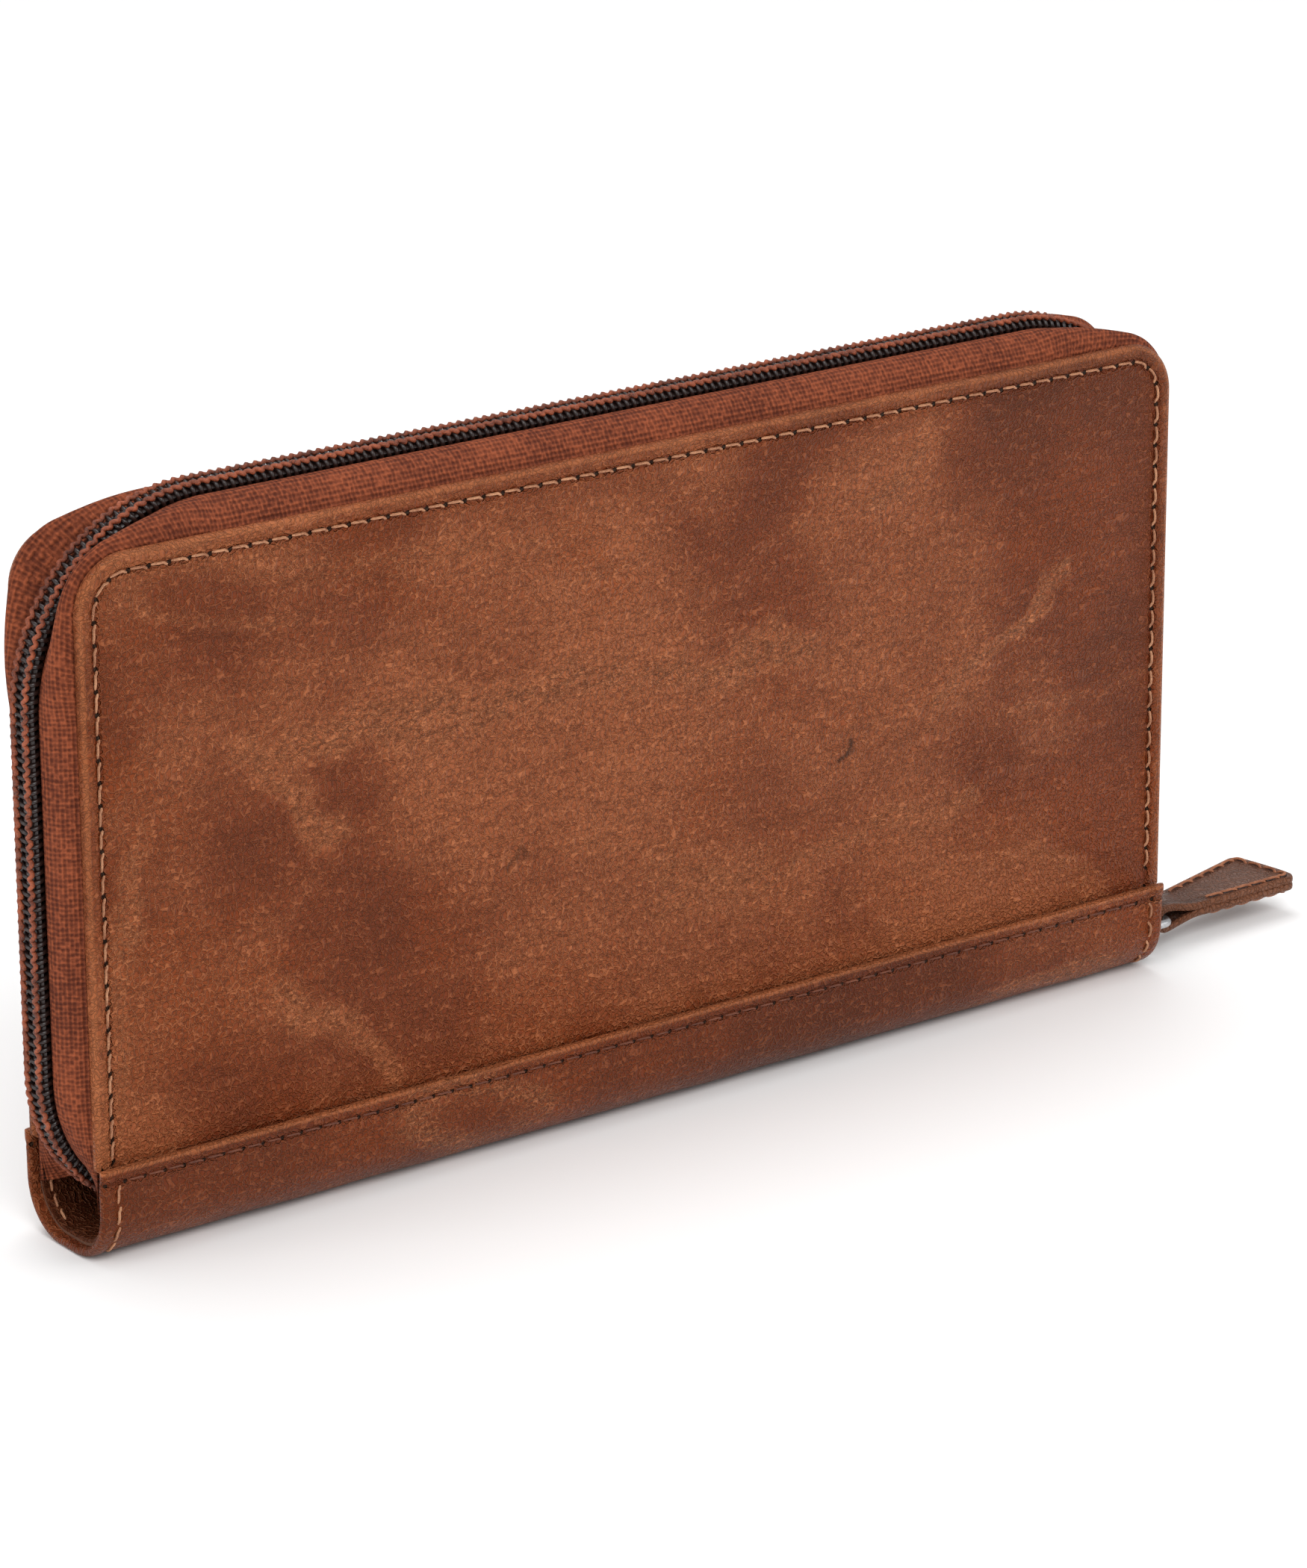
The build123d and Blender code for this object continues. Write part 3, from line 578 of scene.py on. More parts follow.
# paths: a heading that changes evenly over each run, summed into places
def layPath(start, heading, runs):
    lengths, turns = np.array(runs).T
    marks = np.concatenate([[0], np.cumsum(lengths)])
    headings = heading + np.concatenate([[0], np.cumsum(turns)])
    fine = np.linspace(0, marks[-1], 6001)
    middle = np.interp((fine[1:] + fine[:-1]) / 2, marks, headings)
    gap = fine[1]
    xs = start[0] + np.concatenate([[0], np.cumsum(np.cos(middle)) * gap])
    zs = start[1] + np.concatenate([[0], np.cumsum(np.sin(middle)) * gap])
    return {"length": marks[-1], "fine": fine, "x": xs, "z": zs, "heading": np.interp(fine, marks, headings)}


def along(path, distance, inset):
    # the place at a distance along a path and an inset to its right
    heading = np.interp(distance, path["fine"], path["heading"])
    x = np.interp(distance, path["fine"], path["x"]) + np.sin(heading) * inset
    z = np.interp(distance, path["fine"], path["z"]) - np.cos(heading) * inset
    return x, z, heading


# the zip's ridge, from the left foot over the top to the slider
zipRun = {
    "corner": 28.0,          # radius of both top corners
    "tuckFrom": 26.0,        # height at which the left end turns inwards
    "tuck": 9.5,             # how far it turns in
    "leftEnd": 7.5,          # heights of the two ends
    "rightEnd": 7.64,
    "lean": 3.2,             # degrees that the right side leans inwards
    "coilDepth": 2.4,
}
lean = math.radians(zipRun["lean"])
tuckRise = zipRun["tuckFrom"] - zipRun["leftEnd"]
tuckTurn = 2 * math.atan(zipRun["tuck"] / tuckRise)
cornerX, cornerZ = ridgeX - zipRun["corner"], ridgeZ - zipRun["corner"]
rightRun = (cornerZ - zipRun["corner"] * math.sin(lean) - zipRun["rightEnd"]) / math.cos(lean)
quarter = math.pi / 2
zipPath = layPath((-ridgeX + zipRun["tuck"], zipRun["leftEnd"]), quarter + tuckTurn, [
    (tuckRise / math.sin(tuckTurn) * tuckTurn, -tuckTurn),
    (cornerZ - zipRun["tuckFrom"], 0),
    (zipRun["corner"] * quarter, -quarter),
    (2 * cornerX, 0),
    (zipRun["corner"] * (quarter + lean), -quarter - lean),
    (rightRun, 0),
])


def onZip(distance, y, depth):
    x, z, heading = along(zipPath, distance, depth)
    return np.stack(np.broadcast_arrays(x, y, z), -1)


def zipHeading(distance):
    heading = along(zipPath, distance, 0)[2]
    return np.stack([np.cos(heading), 0 * heading, np.sin(heading)], -1)


def zipOutwards(distance):
    heading = along(zipPath, distance, 0)[2]
    return np.stack([-np.sin(heading), 0 * heading, np.cos(heading)], -1)


def coverEdge(distance, inset, radius):
    # level with the ridge beside it, and round the corners out along the ray from the ridge's corner centre
    ridge = np.stack(along(zipPath, distance, 0)[:2], -1)
    centre = np.stack([np.clip(ridge[..., 0], -cornerX, cornerX), np.minimum(ridge[..., 1], cornerZ)], -1)
    ray = ridge - centre
    ray /= np.linalg.norm(ray, axis=-1, keepdims=True)
    limit = np.array([halfLength, coverTop]) - inset
    reach = np.stack([limit[0] - abs(centre[..., 0]), limit[1] - centre[..., 1]], -1)
    reach = (reach / np.maximum(abs(ray), 1e-6)).min(-1, keepdims=True)
    edge = centre + ray * reach
    bend = max(radius - inset, 0.5)
    hub = np.stack([np.sign(edge[..., 0]) * (limit[0] - bend), np.full(edge.shape[:-1], limit[1] - bend)], -1)
    toHub = centre - hub
    half = (toHub * ray).sum(-1, keepdims=True)
    inner = half ** 2 - (toHub ** 2).sum(-1, keepdims=True) + bend ** 2
    rounded = centre + ray * (np.sqrt(np.maximum(inner, 0)) - half)
    outside = (abs(edge[..., :1]) > limit[0] - bend) & (edge[..., 1:] > limit[1] - bend)
    return np.where(outside, rounded, edge)


# each coil reaches from its head, just past the middle, to its outer turn; the core cord is an ellipse
coilSize = {
    "pitch": 1.26, "wire": 0.36, "head": -0.3, "outer": 1.9, "tall": 0.83, "steps": 14, "around": 6,
    "core": 0.55, "coreWide": 1.9,
}


def coilPaths(carry, length, side, size, depth, late):
    # a flattened helix: across = middle + half cos^0.8, depth = centre - tall sin^0.8
    count = int(length / size["pitch"] * size["steps"])
    distance = np.linspace(0, length, count)
    turn = (distance / size["pitch"] + late) * math.tau
    across = (size["outer"] + size["head"]) / 2
    reach = (size["outer"] - size["head"]) / 2
    cosine, sine = np.cos(turn), np.sin(turn)
    y = side * (across - reach * np.sign(cosine) * abs(cosine) ** 0.8)
    sink = depth / 2 - size["tall"] * np.sign(sine) * abs(sine) ** 0.8
    return distance, carry(distance, y, sink)[None]


# under is how much deeper the plait lies where the slider runs
plaitSize = {
    "wire": 0.34, "across": 1.45, "sway": 0.32, "lift": 0.05, "weave": 0.14, "steps": 8, "around": 6,
    "pitch": 1.45, "strands": 1, "under": 0.45,
}
sliderRoom = (95, 80)        # how far from the zip's end the room for the slider starts, and is full


def corePath(carry, length, side, size, depth):
    # the filler cord that the coil is wound round
    distance = np.linspace(0.2, length - 0.2, int(length / 1.5))
    return distance, carry(distance, side * (size["outer"] + size["head"]) / 2, depth / 2)[None]


def plaitPaths(carry, length, side, size):
    # strands wound round one line on top of the coil, half a turn apart
    count = int(length / size["pitch"] * size["steps"])
    distance = np.linspace(0, length, count)
    turn = distance / size["pitch"] * math.tau + np.arange(size["strands"])[:, None] * math.pi
    y = side * (size["across"] + size["sway"] * np.sin(turn))
    sunk = size["under"] * smoothRise(distance - length, -sliderRoom[0], -sliderRoom[1])
    return distance, carry(distance + 0 * turn, y, size["lift"] + sunk - size["weave"] * np.cos(turn))


tapeSize = {
    "edge": 0.3, "flat": 3.6, "thick": 0.45, "seam": 6.0, "inset": 0.8, "corner": 8.0, "rows": 700,
    "crown": 0.9, "puff": 5.4,                    # how full it stands, along the sides and at the corners
    "hug": 1.1, "hugFrom": 1.8, "hugTo": 2.9,     # how far it climbs beside the coil, and between where
}


def tapeRings(side):
    # flat under the coil, falling as share^1.7 of the way across to the cover's edge, and in under it
    size = tapeSize
    distance = np.linspace(0, zipPath["length"], size["rows"])
    flat = np.linspace(size["edge"], size["flat"], 7)
    share = np.linspace(0, 1, 16)[1:]
    slope = size["flat"] + (panelInner - 0.1 - size["flat"]) * share
    tucked = np.linspace(0, size["seam"] - size["inset"], 7)[1:]
    room = smoothRise(distance - zipPath["length"], -sliderRoom[0], -sliderRoom[1])[:, None]
    sink = zipRun["coilDepth"] - size["hug"] * (1 - room) * smoothRise(flat, size["hugFrom"], size["hugTo"])
    top = onZip(distance[:, None], flat * side, sink)
    brow = onZip(distance, 0, sink[:, -1])[:, [0, 2]]
    rim = coverEdge(distance, size["inset"], size["corner"])
    fall = brow[:, None] + (rim - brow)[:, None] * (share ** 1.7)[:, None]
    heading = along(zipPath, distance, 0)[2]
    full = size["crown"] + size["puff"] * np.where(heading < quarter, abs(np.sin(2 * heading)), 0)
    outwards = zipOutwards(distance)[:, None]
    fall = fall + outwards[..., [0, 2]] * (full[:, None] * share * (1 - share ** 3))[..., None]
    under = np.stack([coverEdge(distance, size["inset"] + step, size["corner"]) for step in tucked], 1)
    down = np.concatenate([fall, under], 1)
    y = np.concatenate([slope, np.full(len(tucked), slope[-1])]) * side
    falling = np.stack([down[..., 0], np.broadcast_to(y, down.shape[:2]), down[..., 1]], -1)
    outer = np.concatenate([top, falling], 1)
    normal = np.cross(np.gradient(outer, axis=0), np.gradient(outer, axis=1))
    normal /= np.linalg.norm(normal, axis=-1, keepdims=True)
    normal *= np.sign((normal[:, :1] * outwards).sum(-1, keepdims=True))
    steps = np.linalg.norm(np.diff(outer[len(outer) // 2], axis=0), axis=-1)
    across = np.concatenate([[0], np.cumsum(steps)])
    uv = np.stack(np.broadcast_arrays(distance[:, None], across), -1)
    rings = np.concatenate([outer, (outer - normal * size["thick"])[:, ::-1]], 1)
    return rings, np.concatenate([uv, uv[:, ::-1], uv[:, :1]], 1)


zipLength = zipPath["length"]
for word, side in sides.items():
    bend = coverBend("zip", word, side)
    tapePiece = shell(f"zipTape-{word}", *tapeRings(side))
    dress(tapePiece, zipCloth, [f"{word}_zip_tape"], bend=bend)
    distance, path = coilPaths(onZip, zipLength, side, coilSize, zipRun["coilDepth"], side * 0.25)
    rings = cords(path, coilSize["wire"], coilSize["around"], zipHeading(distance))
    dress(shell(f"zipCoil-{word}", rings, sharp=80), coilNylon, [f"{word}_zip_coil"], bend=bend)
    distance, path = corePath(onZip, zipLength, side, coilSize, zipRun["coilDepth"])
    rings = cords(path, coilSize["core"], 10, zipOutwards(distance))
    rings[..., 1] += (rings[..., 1] - path[:, :, None, 1]) * (coilSize["coreWide"] - 1)
    dress(shell(f"zipCore-{word}", rings), coilNylon, [], bend=bend)
    distance, path = plaitPaths(onZip, zipLength, side, plaitSize)
    rings = cords(path, plaitSize["wire"], plaitSize["around"], zipOutwards(distance))
    plait = shell(f"zipPlait-{word}", rings, sharp=80)
    dress(plait, zipThread, [f"{word}_zip_stitching"], bend=bend)
print("zip")


# covers: rings from the inner face over the turned edge to the middle
coverShape = {
    "corner": 8.0,
    "across": 222, "upright": 40, "bend": 16,     # points along a long side, half an end and a corner
    "swell": 0.10,                                # how unevenly the leather lies
    "seamLevel": 1.06,                            # how far out from the inner face the stitches lie
    "hidden": 1.8,                                # how far its lower ends draw in behind the strip
    # how far in, and how far out from the inner face
    "edge": [(6, 0), (3, 0), (1, 0), (0.35, 0.05), (0.1, 0.25), (0, 0.6), (0.1, 1.0), (0.4, 1.3), (0.85, 1.43),
             (1.4, 1.43), (1.9, 1.33), (2.3, 1.16), (2.7, 1.02), (3.1, 1.1), (3.8, 1.2), (5, 1.26), (7, 1.32),
             (10, 1.38), (14, 1.44), (19, 1.5), (25, 1.55), (32, 1.58), (40, 1.6), (45.6, 1.6)],
}
seamFoot = stripTop + 0.5


def coverRing(inset):
    # left end, corner, top, corner, right end, bottom and back, the same count at every inset
    x, top, low = halfLength - inset, coverTop - inset, panelFoot + inset
    bend = np.clip(coverShape["corner"] - inset, 0.05, None)
    middle = np.full_like(inset, (coverTop + panelFoot) / 2)
    turn = np.linspace(0, quarter, coverShape["bend"], endpoint=False)[:, None]
    across, upright = coverShape["across"], coverShape["upright"]
    straight = across - 2 * coverShape["bend"]

    def run(start, end, count):
        return np.linspace(start, end, count, endpoint=False)

    xs = [run(-x, -x, upright), -x + bend - bend * np.cos(turn), run(-x + bend, x - bend, straight),
          x - bend + bend * np.sin(turn), run(x, x, upright), run(x, x, upright), run(x, -x, across),
          run(-x, -x, upright)]
    zs = [run(middle, top - bend, upright), top - bend + bend * np.sin(turn), run(top, top, straight),
          top - bend + bend * np.cos(turn), run(top - bend, middle, upright), run(middle, low, upright),
          run(low, low, across), run(low, middle, upright)]
    return np.concatenate(xs).T, np.concatenate(zs).T


def coverRings(side):
    # the outline drawn in by each inset and raised to its height, plus three long sine waves that fade
    # towards the edge; near the strip the face is held down, so that it passes under the strip's leather
    inset, height = np.array(coverShape["edge"]).T
    x, z = coverRing(inset)
    waves = np.sin(x * 0.071 + z * 0.043 + side) + np.sin(x * 0.037 - z * 0.09 + 2 * side)
    waves = waves + np.sin(z * 0.11 + x * 0.13)
    y = panelInner + height[:, None] + coverShape["swell"] * waves * smoothRise(inset, 3.5, 14)[:, None]
    y = np.minimum(y, panelOuter - 0.08 + smoothRise(z, stripTop + 0.2, stripTop + 7))
    y[0] = panelInner
    hidden = coverShape["hidden"] * smoothRise(stripTop - z, 0.2, 1.4)
    x = np.sign(x) * np.minimum(abs(x), halfLength - hidden)
    seamX, seamZ = (line[0] for line in coverRing(np.array([coverSeam["inset"]])))
    steps = np.hypot(np.diff(seamX), np.diff(seamZ))
    u = (coverTop + panelFoot) / 2 - seamFoot + np.concatenate([[0], np.cumsum(steps)])
    whole = math.ceil(u[-1] / coverSeam["pitch"]) * coverSeam["pitch"]
    lower = coverShape["upright"]
    u[-lower:] = whole + seamZ[-lower:] - seamFoot
    u[-lower - coverShape["across"]:-lower] = np.linspace(u[-lower - coverShape["across"]], u[-lower],
                                                         coverShape["across"])
    u = np.concatenate([u, [whole + u[0]]])
    inwards = np.where(np.arange(len(inset)) < 5, 0.3, inset)
    uv = np.stack(np.broadcast_arrays(u, inwards[:, None]), -1)
    return np.stack([x, y * side, z], -1), uv


# early and late say where a stitch leaves one hole and ends before or past the next
stitchShape = {"thread": 0.2, "early": 0.4, "late": -0.3, "swing": 0.4, "rise": 0.34, "sunk": 0.14, "around": 6}


def stitchPaths(carry, start, length, seam, shape):
    # each stitch comes up at one hole, arches over the leather and swings aside into the next
    count = int(length / seam["pitch"])
    share = np.linspace(0, 1, 9)
    first = start + seam["pitch"] * np.arange(count)[:, None]
    distance = first + shape["early"] + (seam["pitch"] + shape["late"] - shape["early"]) * share
    aside = shape["swing"] * smoothRise(share, 0.7, 1.0) - 0.15
    height = shape["rise"] * np.sin(math.pi * share) ** 0.6 - shape["sunk"]
    return carry(distance, aside + 0 * distance, height + 0 * distance)


seamIn = coverSeam["inset"]
seamBend = coverShape["corner"] - seamIn
seamPath = layPath((-halfLength + seamIn, seamFoot), quarter, [
    (coverTop - coverShape["corner"] - seamFoot, 0),
    (seamBend * quarter, -quarter),
    (2 * (halfLength - coverShape["corner"]), 0),
    (seamBend * quarter, -quarter),
    (coverTop - coverShape["corner"] - seamFoot, 0),
])
for word, side in sides.items():
    rings, uv = coverRings(side)
    leather = coverLeather if side < 0 else backLeather
    dress(shell(f"cover-{word}", rings, uv), leather, [f"{word}_panel"], body=f"{word}_cover")

    def onCover(distance, aside, height):
        x, z, heading = along(seamPath, distance, aside)
        return np.stack([x, side * (panelInner + coverShape["seamLevel"] + height), z], -1)

    paths = stitchPaths(onCover, 0.0, seamPath["length"], coverSeam, stitchShape)
    thread = shell(f"coverStitches-{word}", cords(paths, stitchShape["thread"], stitchShape["around"], (0, 1, 0)))
    dress(thread, coverThread, [f"{word}_stitching"], body=f"{word}_cover")
print("covers")


# spine strip: a flat-bottomed U in two halves, with a turned and slightly open lip
stripShape = {
    "flat": 2.0, "leather": 1.2, "flare": 0.3, "belly": 0.07, "groove": 0.12, "eased": 0.7, "column": 2.7,
    "rowThread": 0.19,
    "seamTurn": 60.0,        # degrees that the end stitches go round below the straight part
}
stripRadius = halfDepth - stripShape["flat"]
lipArc = stripShape["flat"] + stripRadius * quarter + stripTop - stripRadius
columnX = halfLength - stripShape["column"]
rowArc = lipArc - stripSeam["inset"]


def onStrip(x, arc, depth, side):
    # arc is measured round the outside from the middle of the floor, depth from the outside inwards
    turn = np.clip((arc - stripShape["flat"]) / stripRadius, 0, quarter)
    past = np.maximum(arc - stripShape["flat"] - stripRadius * quarter, 0)
    y = np.minimum(arc, stripShape["flat"]) + (stripRadius - depth) * np.sin(turn)
    z = stripRadius - (stripRadius - depth) * np.cos(turn) + past
    return np.stack(np.broadcast_arrays(x, side * y, z), -1)


def outwardSwell(x, arc):
    # the lip stands open, the turned edges belly out and the seams lie in grooves
    size = stripShape
    near = abs(x)
    swell = size["flare"] * smoothRise(arc, lipArc - 3.6, lipArc)
    swell = swell + size["belly"] * np.sin(math.pi * np.clip((arc - rowArc - 0.1) / (lipArc - rowArc), 0, 1))
    swell = swell + 0.14 * np.exp(-((near - halfLength + 1.3) / 0.8) ** 2)
    swell = swell - size["groove"] * np.exp(-((arc - rowArc) / 0.4) ** 2)
    swell = swell - size["groove"] * np.exp(-((near - columnX) / 0.4) ** 2)
    return swell + 0.06 * np.sin(x * 0.31 + arc * 0.7) * np.sin(x * 0.047 + 1) * smoothRise(arc, 1, 6)


def stripRings(side):
    # a profile by arc length, up the outside to the lip and down the inside, swept along x; at both ends
    # its thickness eases away as a quarter ellipse
    ends = np.array([0, 0.04, 0.12, 0.25, 0.45, 0.7, 1.0, 1.35, 1.75, 2.1, 2.4, 2.7, 3.0, 3.4, 4.0])
    inner = np.linspace(-halfLength + 5, halfLength - 5, 260)
    x = np.concatenate([-halfLength + ends, inner, (halfLength - ends)[::-1]])[:, None]
    floor = np.linspace(0, rowArc - 1, 26, endpoint=False)
    brim = np.linspace(rowArc - 1, lipArc - 0.12, 22)
    outside = np.concatenate([floor, brim])
    arc = np.concatenate([outside, [lipArc, lipArc + 0.02, lipArc, lipArc - 0.12], outside[::-1]])
    rim = np.array([0.2, 0.5, 0.8, 1.0])
    share = np.concatenate([0 * outside, rim, 0 * outside + 1])
    over = np.clip((abs(x) - halfLength + stripShape["eased"]) / stripShape["eased"], 0, 1)
    full = np.sqrt(np.maximum(1 - over ** 2, 0.001))
    depth = stripShape["leather"] * (0.5 + (share - 0.5) * full)
    flare = stripShape["flare"] * smoothRise(arc, lipArc - 3.6, lipArc)
    swell = np.where(share < 0.4, outwardSwell(x, arc), flare)
    points = onStrip(x, arc, depth - swell, side)
    inwards = np.minimum(lipArc - arc, 12)
    uv = np.stack(np.broadcast_arrays(x, np.concatenate([inwards, inwards[:1]])), -1)
    return points, uv


lowArc = stripShape["flat"] + stripRadius * (quarter - math.radians(stripShape["seamTurn"]))
insideSeam = {"depth": 2.1, "from": 4.5, "to": 15.0}        # the same seam seen inside the strip
for word, side in sides.items():
    bend = coverBend("strip", word, side)
    rings, uv = stripRings(side)
    dress(shell(f"spineStrip-{word}", rings, uv), stripLeather, ["spine_strip"], bend=bend)

    def onRow(distance, aside, height):
        return onStrip(distance, rowArc - aside * 0.6, stripShape["groove"] - height - 0.05, side)

    paths = stitchPaths(onRow, -columnX + 1.2, 2 * columnX - 2.4, stripSeam, {**stitchShape, "rise": 0.26})
    row = cords(paths, stripShape["rowThread"], stitchShape["around"], (0, 1, 0))
    dress(shell(f"spineRow-{word}", row), brownThread, [f"spine_stitching_{word}"], bend=bend)
    ends = []
    for end in (-1, 1):
        def onColumn(distance, aside, height):
            return onStrip(end * (columnX - aside), distance, stripShape["groove"] - height - 0.05, side)

        def onInside(distance, aside, height):
            return onStrip(end * (columnX - aside), distance, insideSeam["depth"] + height, side)

        outer = stitchPaths(onColumn, lowArc, lipArc - lowArc, coverSeam, stitchShape)
        reach = insideSeam["to"] - insideSeam["from"]
        ends += [outer, stitchPaths(onInside, insideSeam["from"], reach, coverSeam, stitchShape)]
    rings = cords(np.concatenate(ends), stitchShape["thread"], stitchShape["around"], (1, 0, 0))
    dress(shell(f"spineEnds-{word}", rings), coverThread, [], bend=bend)
print("spine")


# leather pull: one strip folded round the loop's bar, and sewn to itself
tabShape = {
    "yaw": 8.0, "place": (101.669, 0.196, 5.032), "length": 27.5, "narrow": 3.3, "wide": 6.7, "widens": 2.0,
    "tip": 1.8, "leather": 1.1, "fold": 1.65, "sewnFrom": 7.0,
}
tabStitch = {"thread": 0.24, "early": 0.0, "late": 0.0, "swing": 0.5, "rise": 0.36, "sunk": 0.1, "around": 6}
# painted shade: a dark dash from one stitch to the next, where the thread sinks into the leather
tabShadeDash = {"thread": 0.23, "early": 0.75, "late": -0.35, "swing": 0.0, "rise": 0.12, "sunk": 0.1, "around": 6}


def onTab(x, aside, height):
    # from the strip's own plane to its place, turned about the vertical
    turn = math.radians(tabShape["yaw"])
    place = tabShape["place"]
    return np.stack([place[0] + x * math.cos(turn) - aside * math.sin(turn),
                     place[1] + x * math.sin(turn) + aside * math.cos(turn), place[2] + height], -1)


def tabHalf(x):
    # half the width: a straight taper, rounded at the tip as a quarter circle
    size = tabShape
    half = size["narrow"] + (size["wide"] - size["narrow"]) * np.clip(
        (x - size["widens"]) / (size["length"] - size["widens"]), 0, 1)
    past = np.clip((x - size["length"]) / size["tip"] + 1, 0, 1)
    return half - size["tip"] * (1 - np.sqrt(np.maximum(1 - past ** 2, 0.0)))


def tabRings():
    # along the upper layer from the tip, half a circle round the loop, and back along the lower layer
    size = tabShape
    tip = size["length"] - np.array([0, 0.06, 0.2, 0.45, 0.8, 1.3])
    straight = np.concatenate([tip, np.linspace(size["length"] - 2, 0, 46)])
    layer = size["leather"] / 2
    gap = layer + (size["fold"] - layer) * (1 - smoothRise(straight, 0, size["sewnFrom"]))
    turn = np.linspace(quarter, 3 * quarter, 15)[1:-1]
    x = np.concatenate([straight, size["fold"] * np.cos(turn), straight[::-1]])
    height = np.concatenate([gap, size["fold"] * np.sin(turn), -gap[::-1]])
    ahead = np.stack([np.gradient(x), np.gradient(height)], -1)
    ahead /= np.linalg.norm(ahead, axis=-1, keepdims=True)
    half = tabHalf(x)[:, None]
    top = np.linspace(-1, 1, 17)
    edge = np.array([0.05, 0.0, 0.05])
    across = np.concatenate([(half - 0.22) * top, half - edge, (half - 0.22) * top[::-1], edge - half], 1)
    thick = np.concatenate([0 * top + 1, [0.62, 0, -0.62], 0 * top - 1, [-0.62, 0, 0.62]]) * layer
    pad = 0.1 * np.concatenate([1 - top ** 4, [0, 0, 0], 0 * top, [0, 0, 0]])
    out = thick + pad
    alongX = x[:, None] + ahead[:, 1:] * out
    up = height[:, None] - ahead[:, :1] * out
    inwards = np.minimum(half - abs(across), np.maximum(size["length"] - x, 0)[:, None])
    uv = np.stack(np.broadcast_arrays(x[:, None], inwards), -1)
    return onTab(alongX, across, up), np.concatenate([uv, uv[:, :1]], 1)


tabIn = tabSeam["inset"]
slant = math.atan((tabShape["wide"] - tabShape["narrow"]) / (tabShape["length"] - tabShape["widens"]))
tabFrom = tabShape["sewnFrom"] + 0.6
tabSide = (tabShape["length"] - tabIn - tabFrom) / math.cos(slant)
tabEndHalf = float(tabShape["wide"] - tabIn * (1 + math.tan(slant)))
tabStartHalf = tabEndHalf - tabSide * math.sin(slant)
tabPath = layPath((tabFrom, tabStartHalf), slant, [
    (tabSide - 0.6, 0), (0.9, -quarter - slant), (2 * tabEndHalf - 1.1, 0), (0.9, -quarter - slant),
    (tabSide - 0.6, 0)])
rings, uv = tabRings()
tab = shell("pullTab", rings, uv)
dress(tab, tabLeather, ["pull_tab"], body="pull_tab")
pairs = {"tabStitches": (tabStitch, tabThread, ["pull_tab_stitching"]), "tabHoles": (tabShadeDash, holeShadeThread, [])}
for name, (shape, finish, stands) in pairs.items():
    faces = []
    for face in (1, -1):
        def onFace(distance, aside, height):
            x, y, heading = along(tabPath, distance, aside - 0.1)
            return onTab(x, y, face * (tabShape["leather"] + 0.08 + height))

        faces.append(stitchPaths(onFace, 0.0, tabPath["length"] + 0.2, tabSeam, shape))
    rings = cords(np.concatenate(faces), shape["thread"], shape["around"], (0, 0, 1))
    dress(shell(name, rings), finish, stands, body="pull_tab")
print("pull tab")


# purse zip, a smaller coil along the purse's top
purseCoil = {"pitch": 1.15, "wire": 0.22, "head": -0.2, "outer": 1.75, "tall": 0.55, "steps": 14, "around": 6}
pursePlait = {"wire": 0.18, "across": 1.0, "weave": 0.14, "sway": 0.16, "lift": 0.05, "steps": 8, "around": 6, "pitch": 1.15,
              "strands": 2, "under": 0.0}
purseLow, purseHigh = corners("purse_zip_coil_back")
purseTapeLow = corners("purse_zip_tape_back")[0]
purseDepth = purseHigh[2] - purseLow[2]
purseLength = purseHigh[0] - purseLow[0]
purseTape = {"thick": 0.4, "shoulder": 3.9, "sewn": 1.05, "fall": 4.6}


def onPurse(distance, y, depth):
    return np.stack(np.broadcast_arrays(purseLow[0] + distance, y, purseHigh[2] - depth), -1)


def foldedRings(profile, thick, carry, rows):
    # a folded sheet: the profile with its bends eased, and the same again a thickness away
    fine = np.linspace(0, 1, 61)
    marks = np.concatenate([[0], np.cumsum(np.hypot(*np.diff(profile, axis=0).T))])
    line = np.stack([np.interp(fine, marks / marks[-1], profile[:, axis]) for axis in (0, 1)], -1)
    padded = np.concatenate([np.repeat(line[:1], 2, 0), line, np.repeat(line[-1:], 2, 0)])
    line = sum(padded[shift:shift + len(line)] for shift in range(5)) / 5
    ahead = np.gradient(line, axis=0)
    ahead /= np.linalg.norm(ahead, axis=-1, keepdims=True)
    away = np.stack([ahead[:, 1], -ahead[:, 0]], -1) * thick / 2
    ring = np.concatenate([line + away, (line - away)[::-1]])
    run = np.concatenate([fine, fine[::-1], fine[:1]]) * marks[-1]
    uv = np.stack(np.broadcast_arrays(rows[:, None], run), -1)
    return carry(rows[:, None], ring[:, 0], ring[:, 1]), uv


for word, side in sides.items():
    distance, path = coilPaths(onPurse, purseLength, side, purseCoil, purseDepth, side * 0.25)
    rings = cords(path, purseCoil["wire"], purseCoil["around"], (1, 0, 0))
    dress(shell(f"purseCoil-{word}", rings, sharp=80), coilNylon,
          [f"purse_zip_coil_{word}"], body="spine")
    distance, path = plaitPaths(onPurse, purseLength, side, pursePlait)
    rings = cords(path, pursePlait["wire"], pursePlait["around"], (0, 0, 1))
    dress(shell(f"pursePlait-{word}", rings, sharp=80), zipThread, [], body="spine")
    level = purseDepth + purseTape["thick"] / 2
    profile = np.array([(0.3, level), (purseTape["shoulder"], level),
                        (purseTape["sewn"], level + purseTape["fall"]),
                        (purseTape["sewn"], purseHigh[2] - purseTapeLow[2])]) * [side, 1]
    rings, uv = foldedRings(profile, purseTape["thick"], onPurse, np.linspace(0, purseLength, 40))
    dress(shell(f"purseTape-{word}", rings, uv), purseCloth,
          [f"purse_zip_tape_{word}"], body="spine")
print("purse zip")


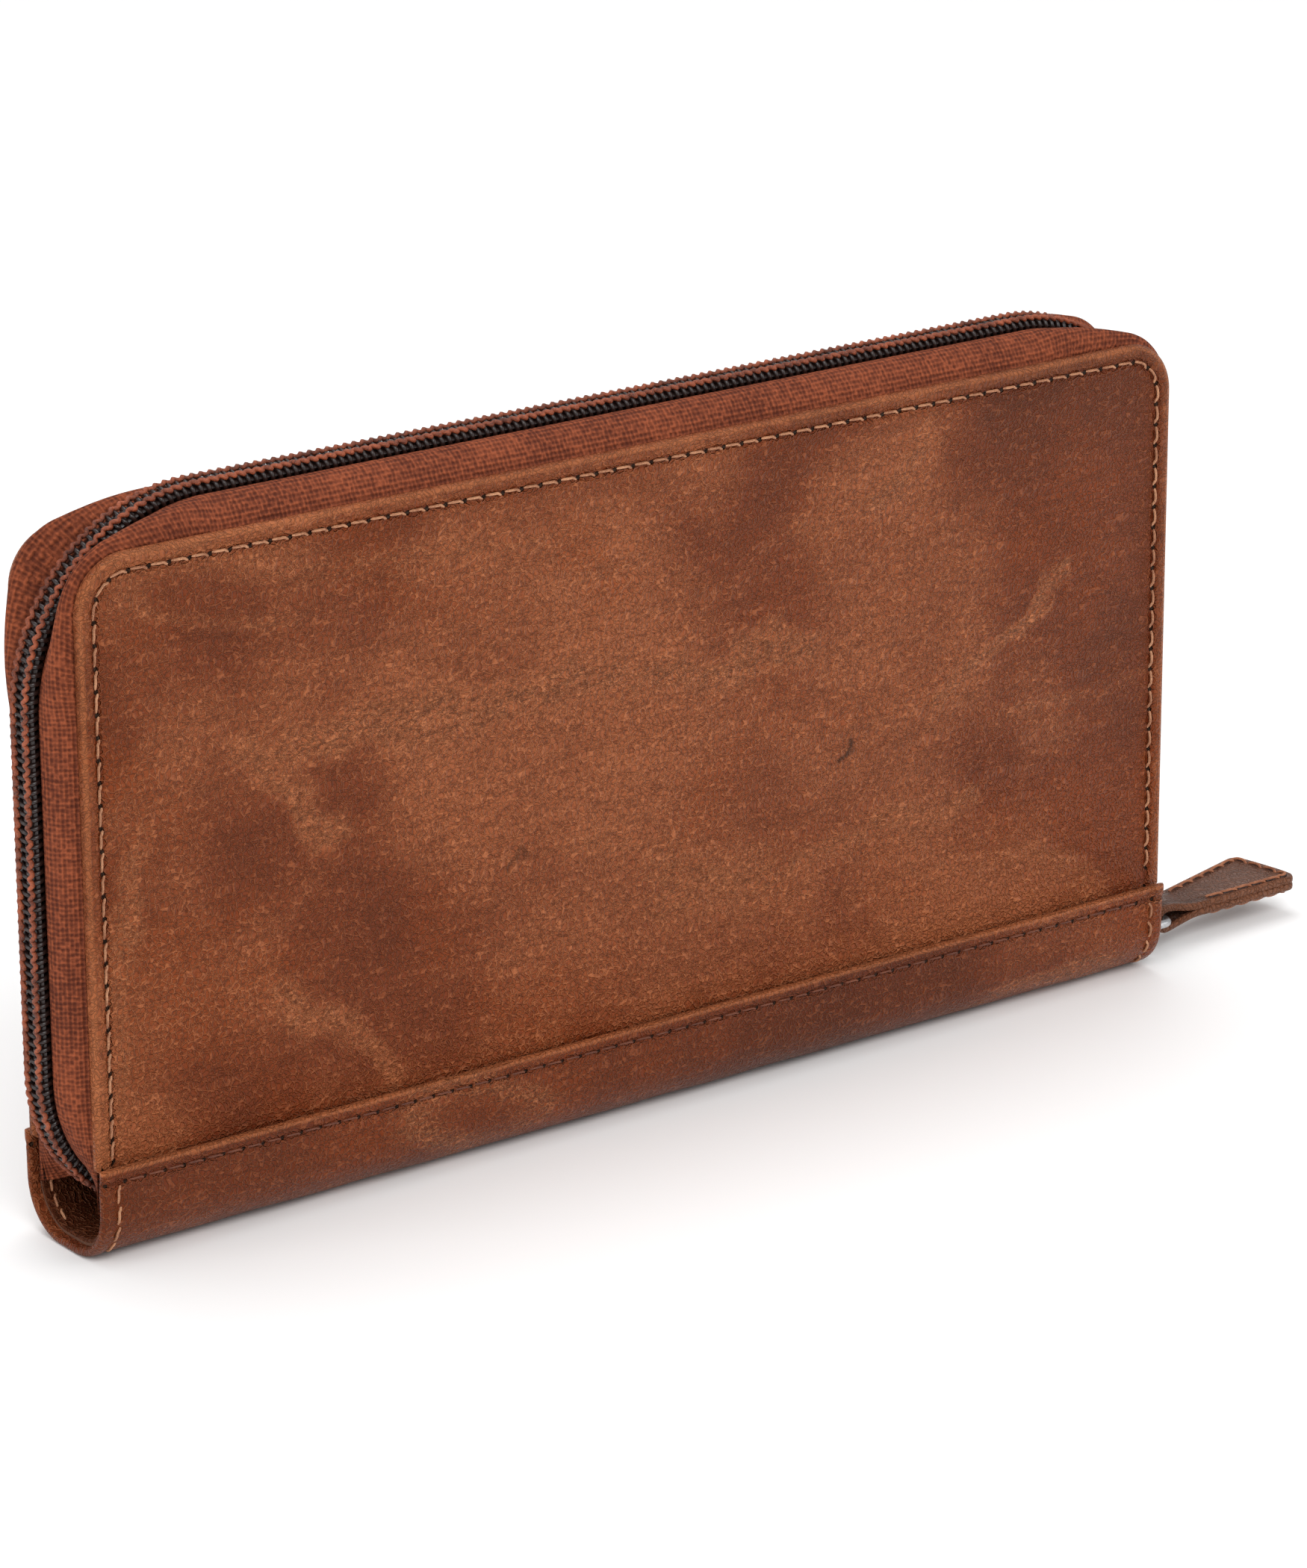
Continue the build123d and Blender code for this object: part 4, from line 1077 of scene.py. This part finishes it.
# gussets: cloth webs folded inwards between the covers and the purse
gussetShape = {"thick": 0.4, "flange": 4.0, "ripple": 0.25, "inset": 2.87, "fold": 1.16, "purseEnd": 13}
for end, endWord in ((-1, "left"), (1, "right")):
    for word, side in sides.items():
        node = f"gusset_{endWord}_{word}"
        low, high = corners(node)
        reach = max(abs(low[0]), abs(high[0])) - gussetShape["inset"]
        apex = min(abs(low[0]), abs(high[0])) + gussetShape["fold"]
        outer = max(abs(low[1]), abs(high[1])) - gussetShape["thick"] / 2
        inner = min(abs(low[1]), abs(high[1])) + gussetShape["thick"] / 2
        purseEdge = halfLength - gussetShape["purseEnd"]
        profile = np.array([(reach - gussetShape["flange"], outer), (reach, outer), (apex, (outer + inner) / 2),
                            (purseEdge, inner), (purseEdge - gussetShape["flange"], inner)]) * [end, side]

        def upright(height, x, y):
            sway = gussetShape["ripple"] * np.sin(height * 0.35) * np.exp(-((abs(x) - apex) / 5) ** 2)
            return np.stack(np.broadcast_arrays(x + sway, y, height), -1)

        rings, uv = foldedRings(profile, gussetShape["thick"], upright, np.linspace(low[2], high[2], 50))
        web = shell(f"gusset-{endWord}-{word}", rings, uv)
        dress(web, liningCloth, [node], bend=coverBend("gusset", word, side))
print("gussets")


# the CAD pieces that keep their shape
keptFinishes = {
    "spine_lining": insideLeather, "board": stiffBoard, "stiffener": stiffBoard, "lining": liningCloth,
    "wall": liningCloth, "backing": insideLeather, "card_slot": insideLeather, "stop": zipMetal,
    "slider": zipMetal, "purse_zip_puller": zipMetal, "puller_loop": loopMetal,
}
for name, node in nodes.items():
    if not node.hide_render:
        finish = next(finish for part, finish in keptFinishes.items() if part in name)
        node.data.materials.clear()
        node.data.materials.append(finish)
print("kept pieces")


floorShape = {"half": 6000.0, "thick": 20.0}
square = np.array([(-1, -1), (1, -1), (1, 1), (-1, 1)]) * floorShape["half"]
floorRings = np.stack([np.column_stack([square, np.full(4, level)]) for level in (-floorShape["thick"], 0.0)])
floor = shell("floor", floorRings)
floor.data.materials.append(floorFinish("floorPaper"))
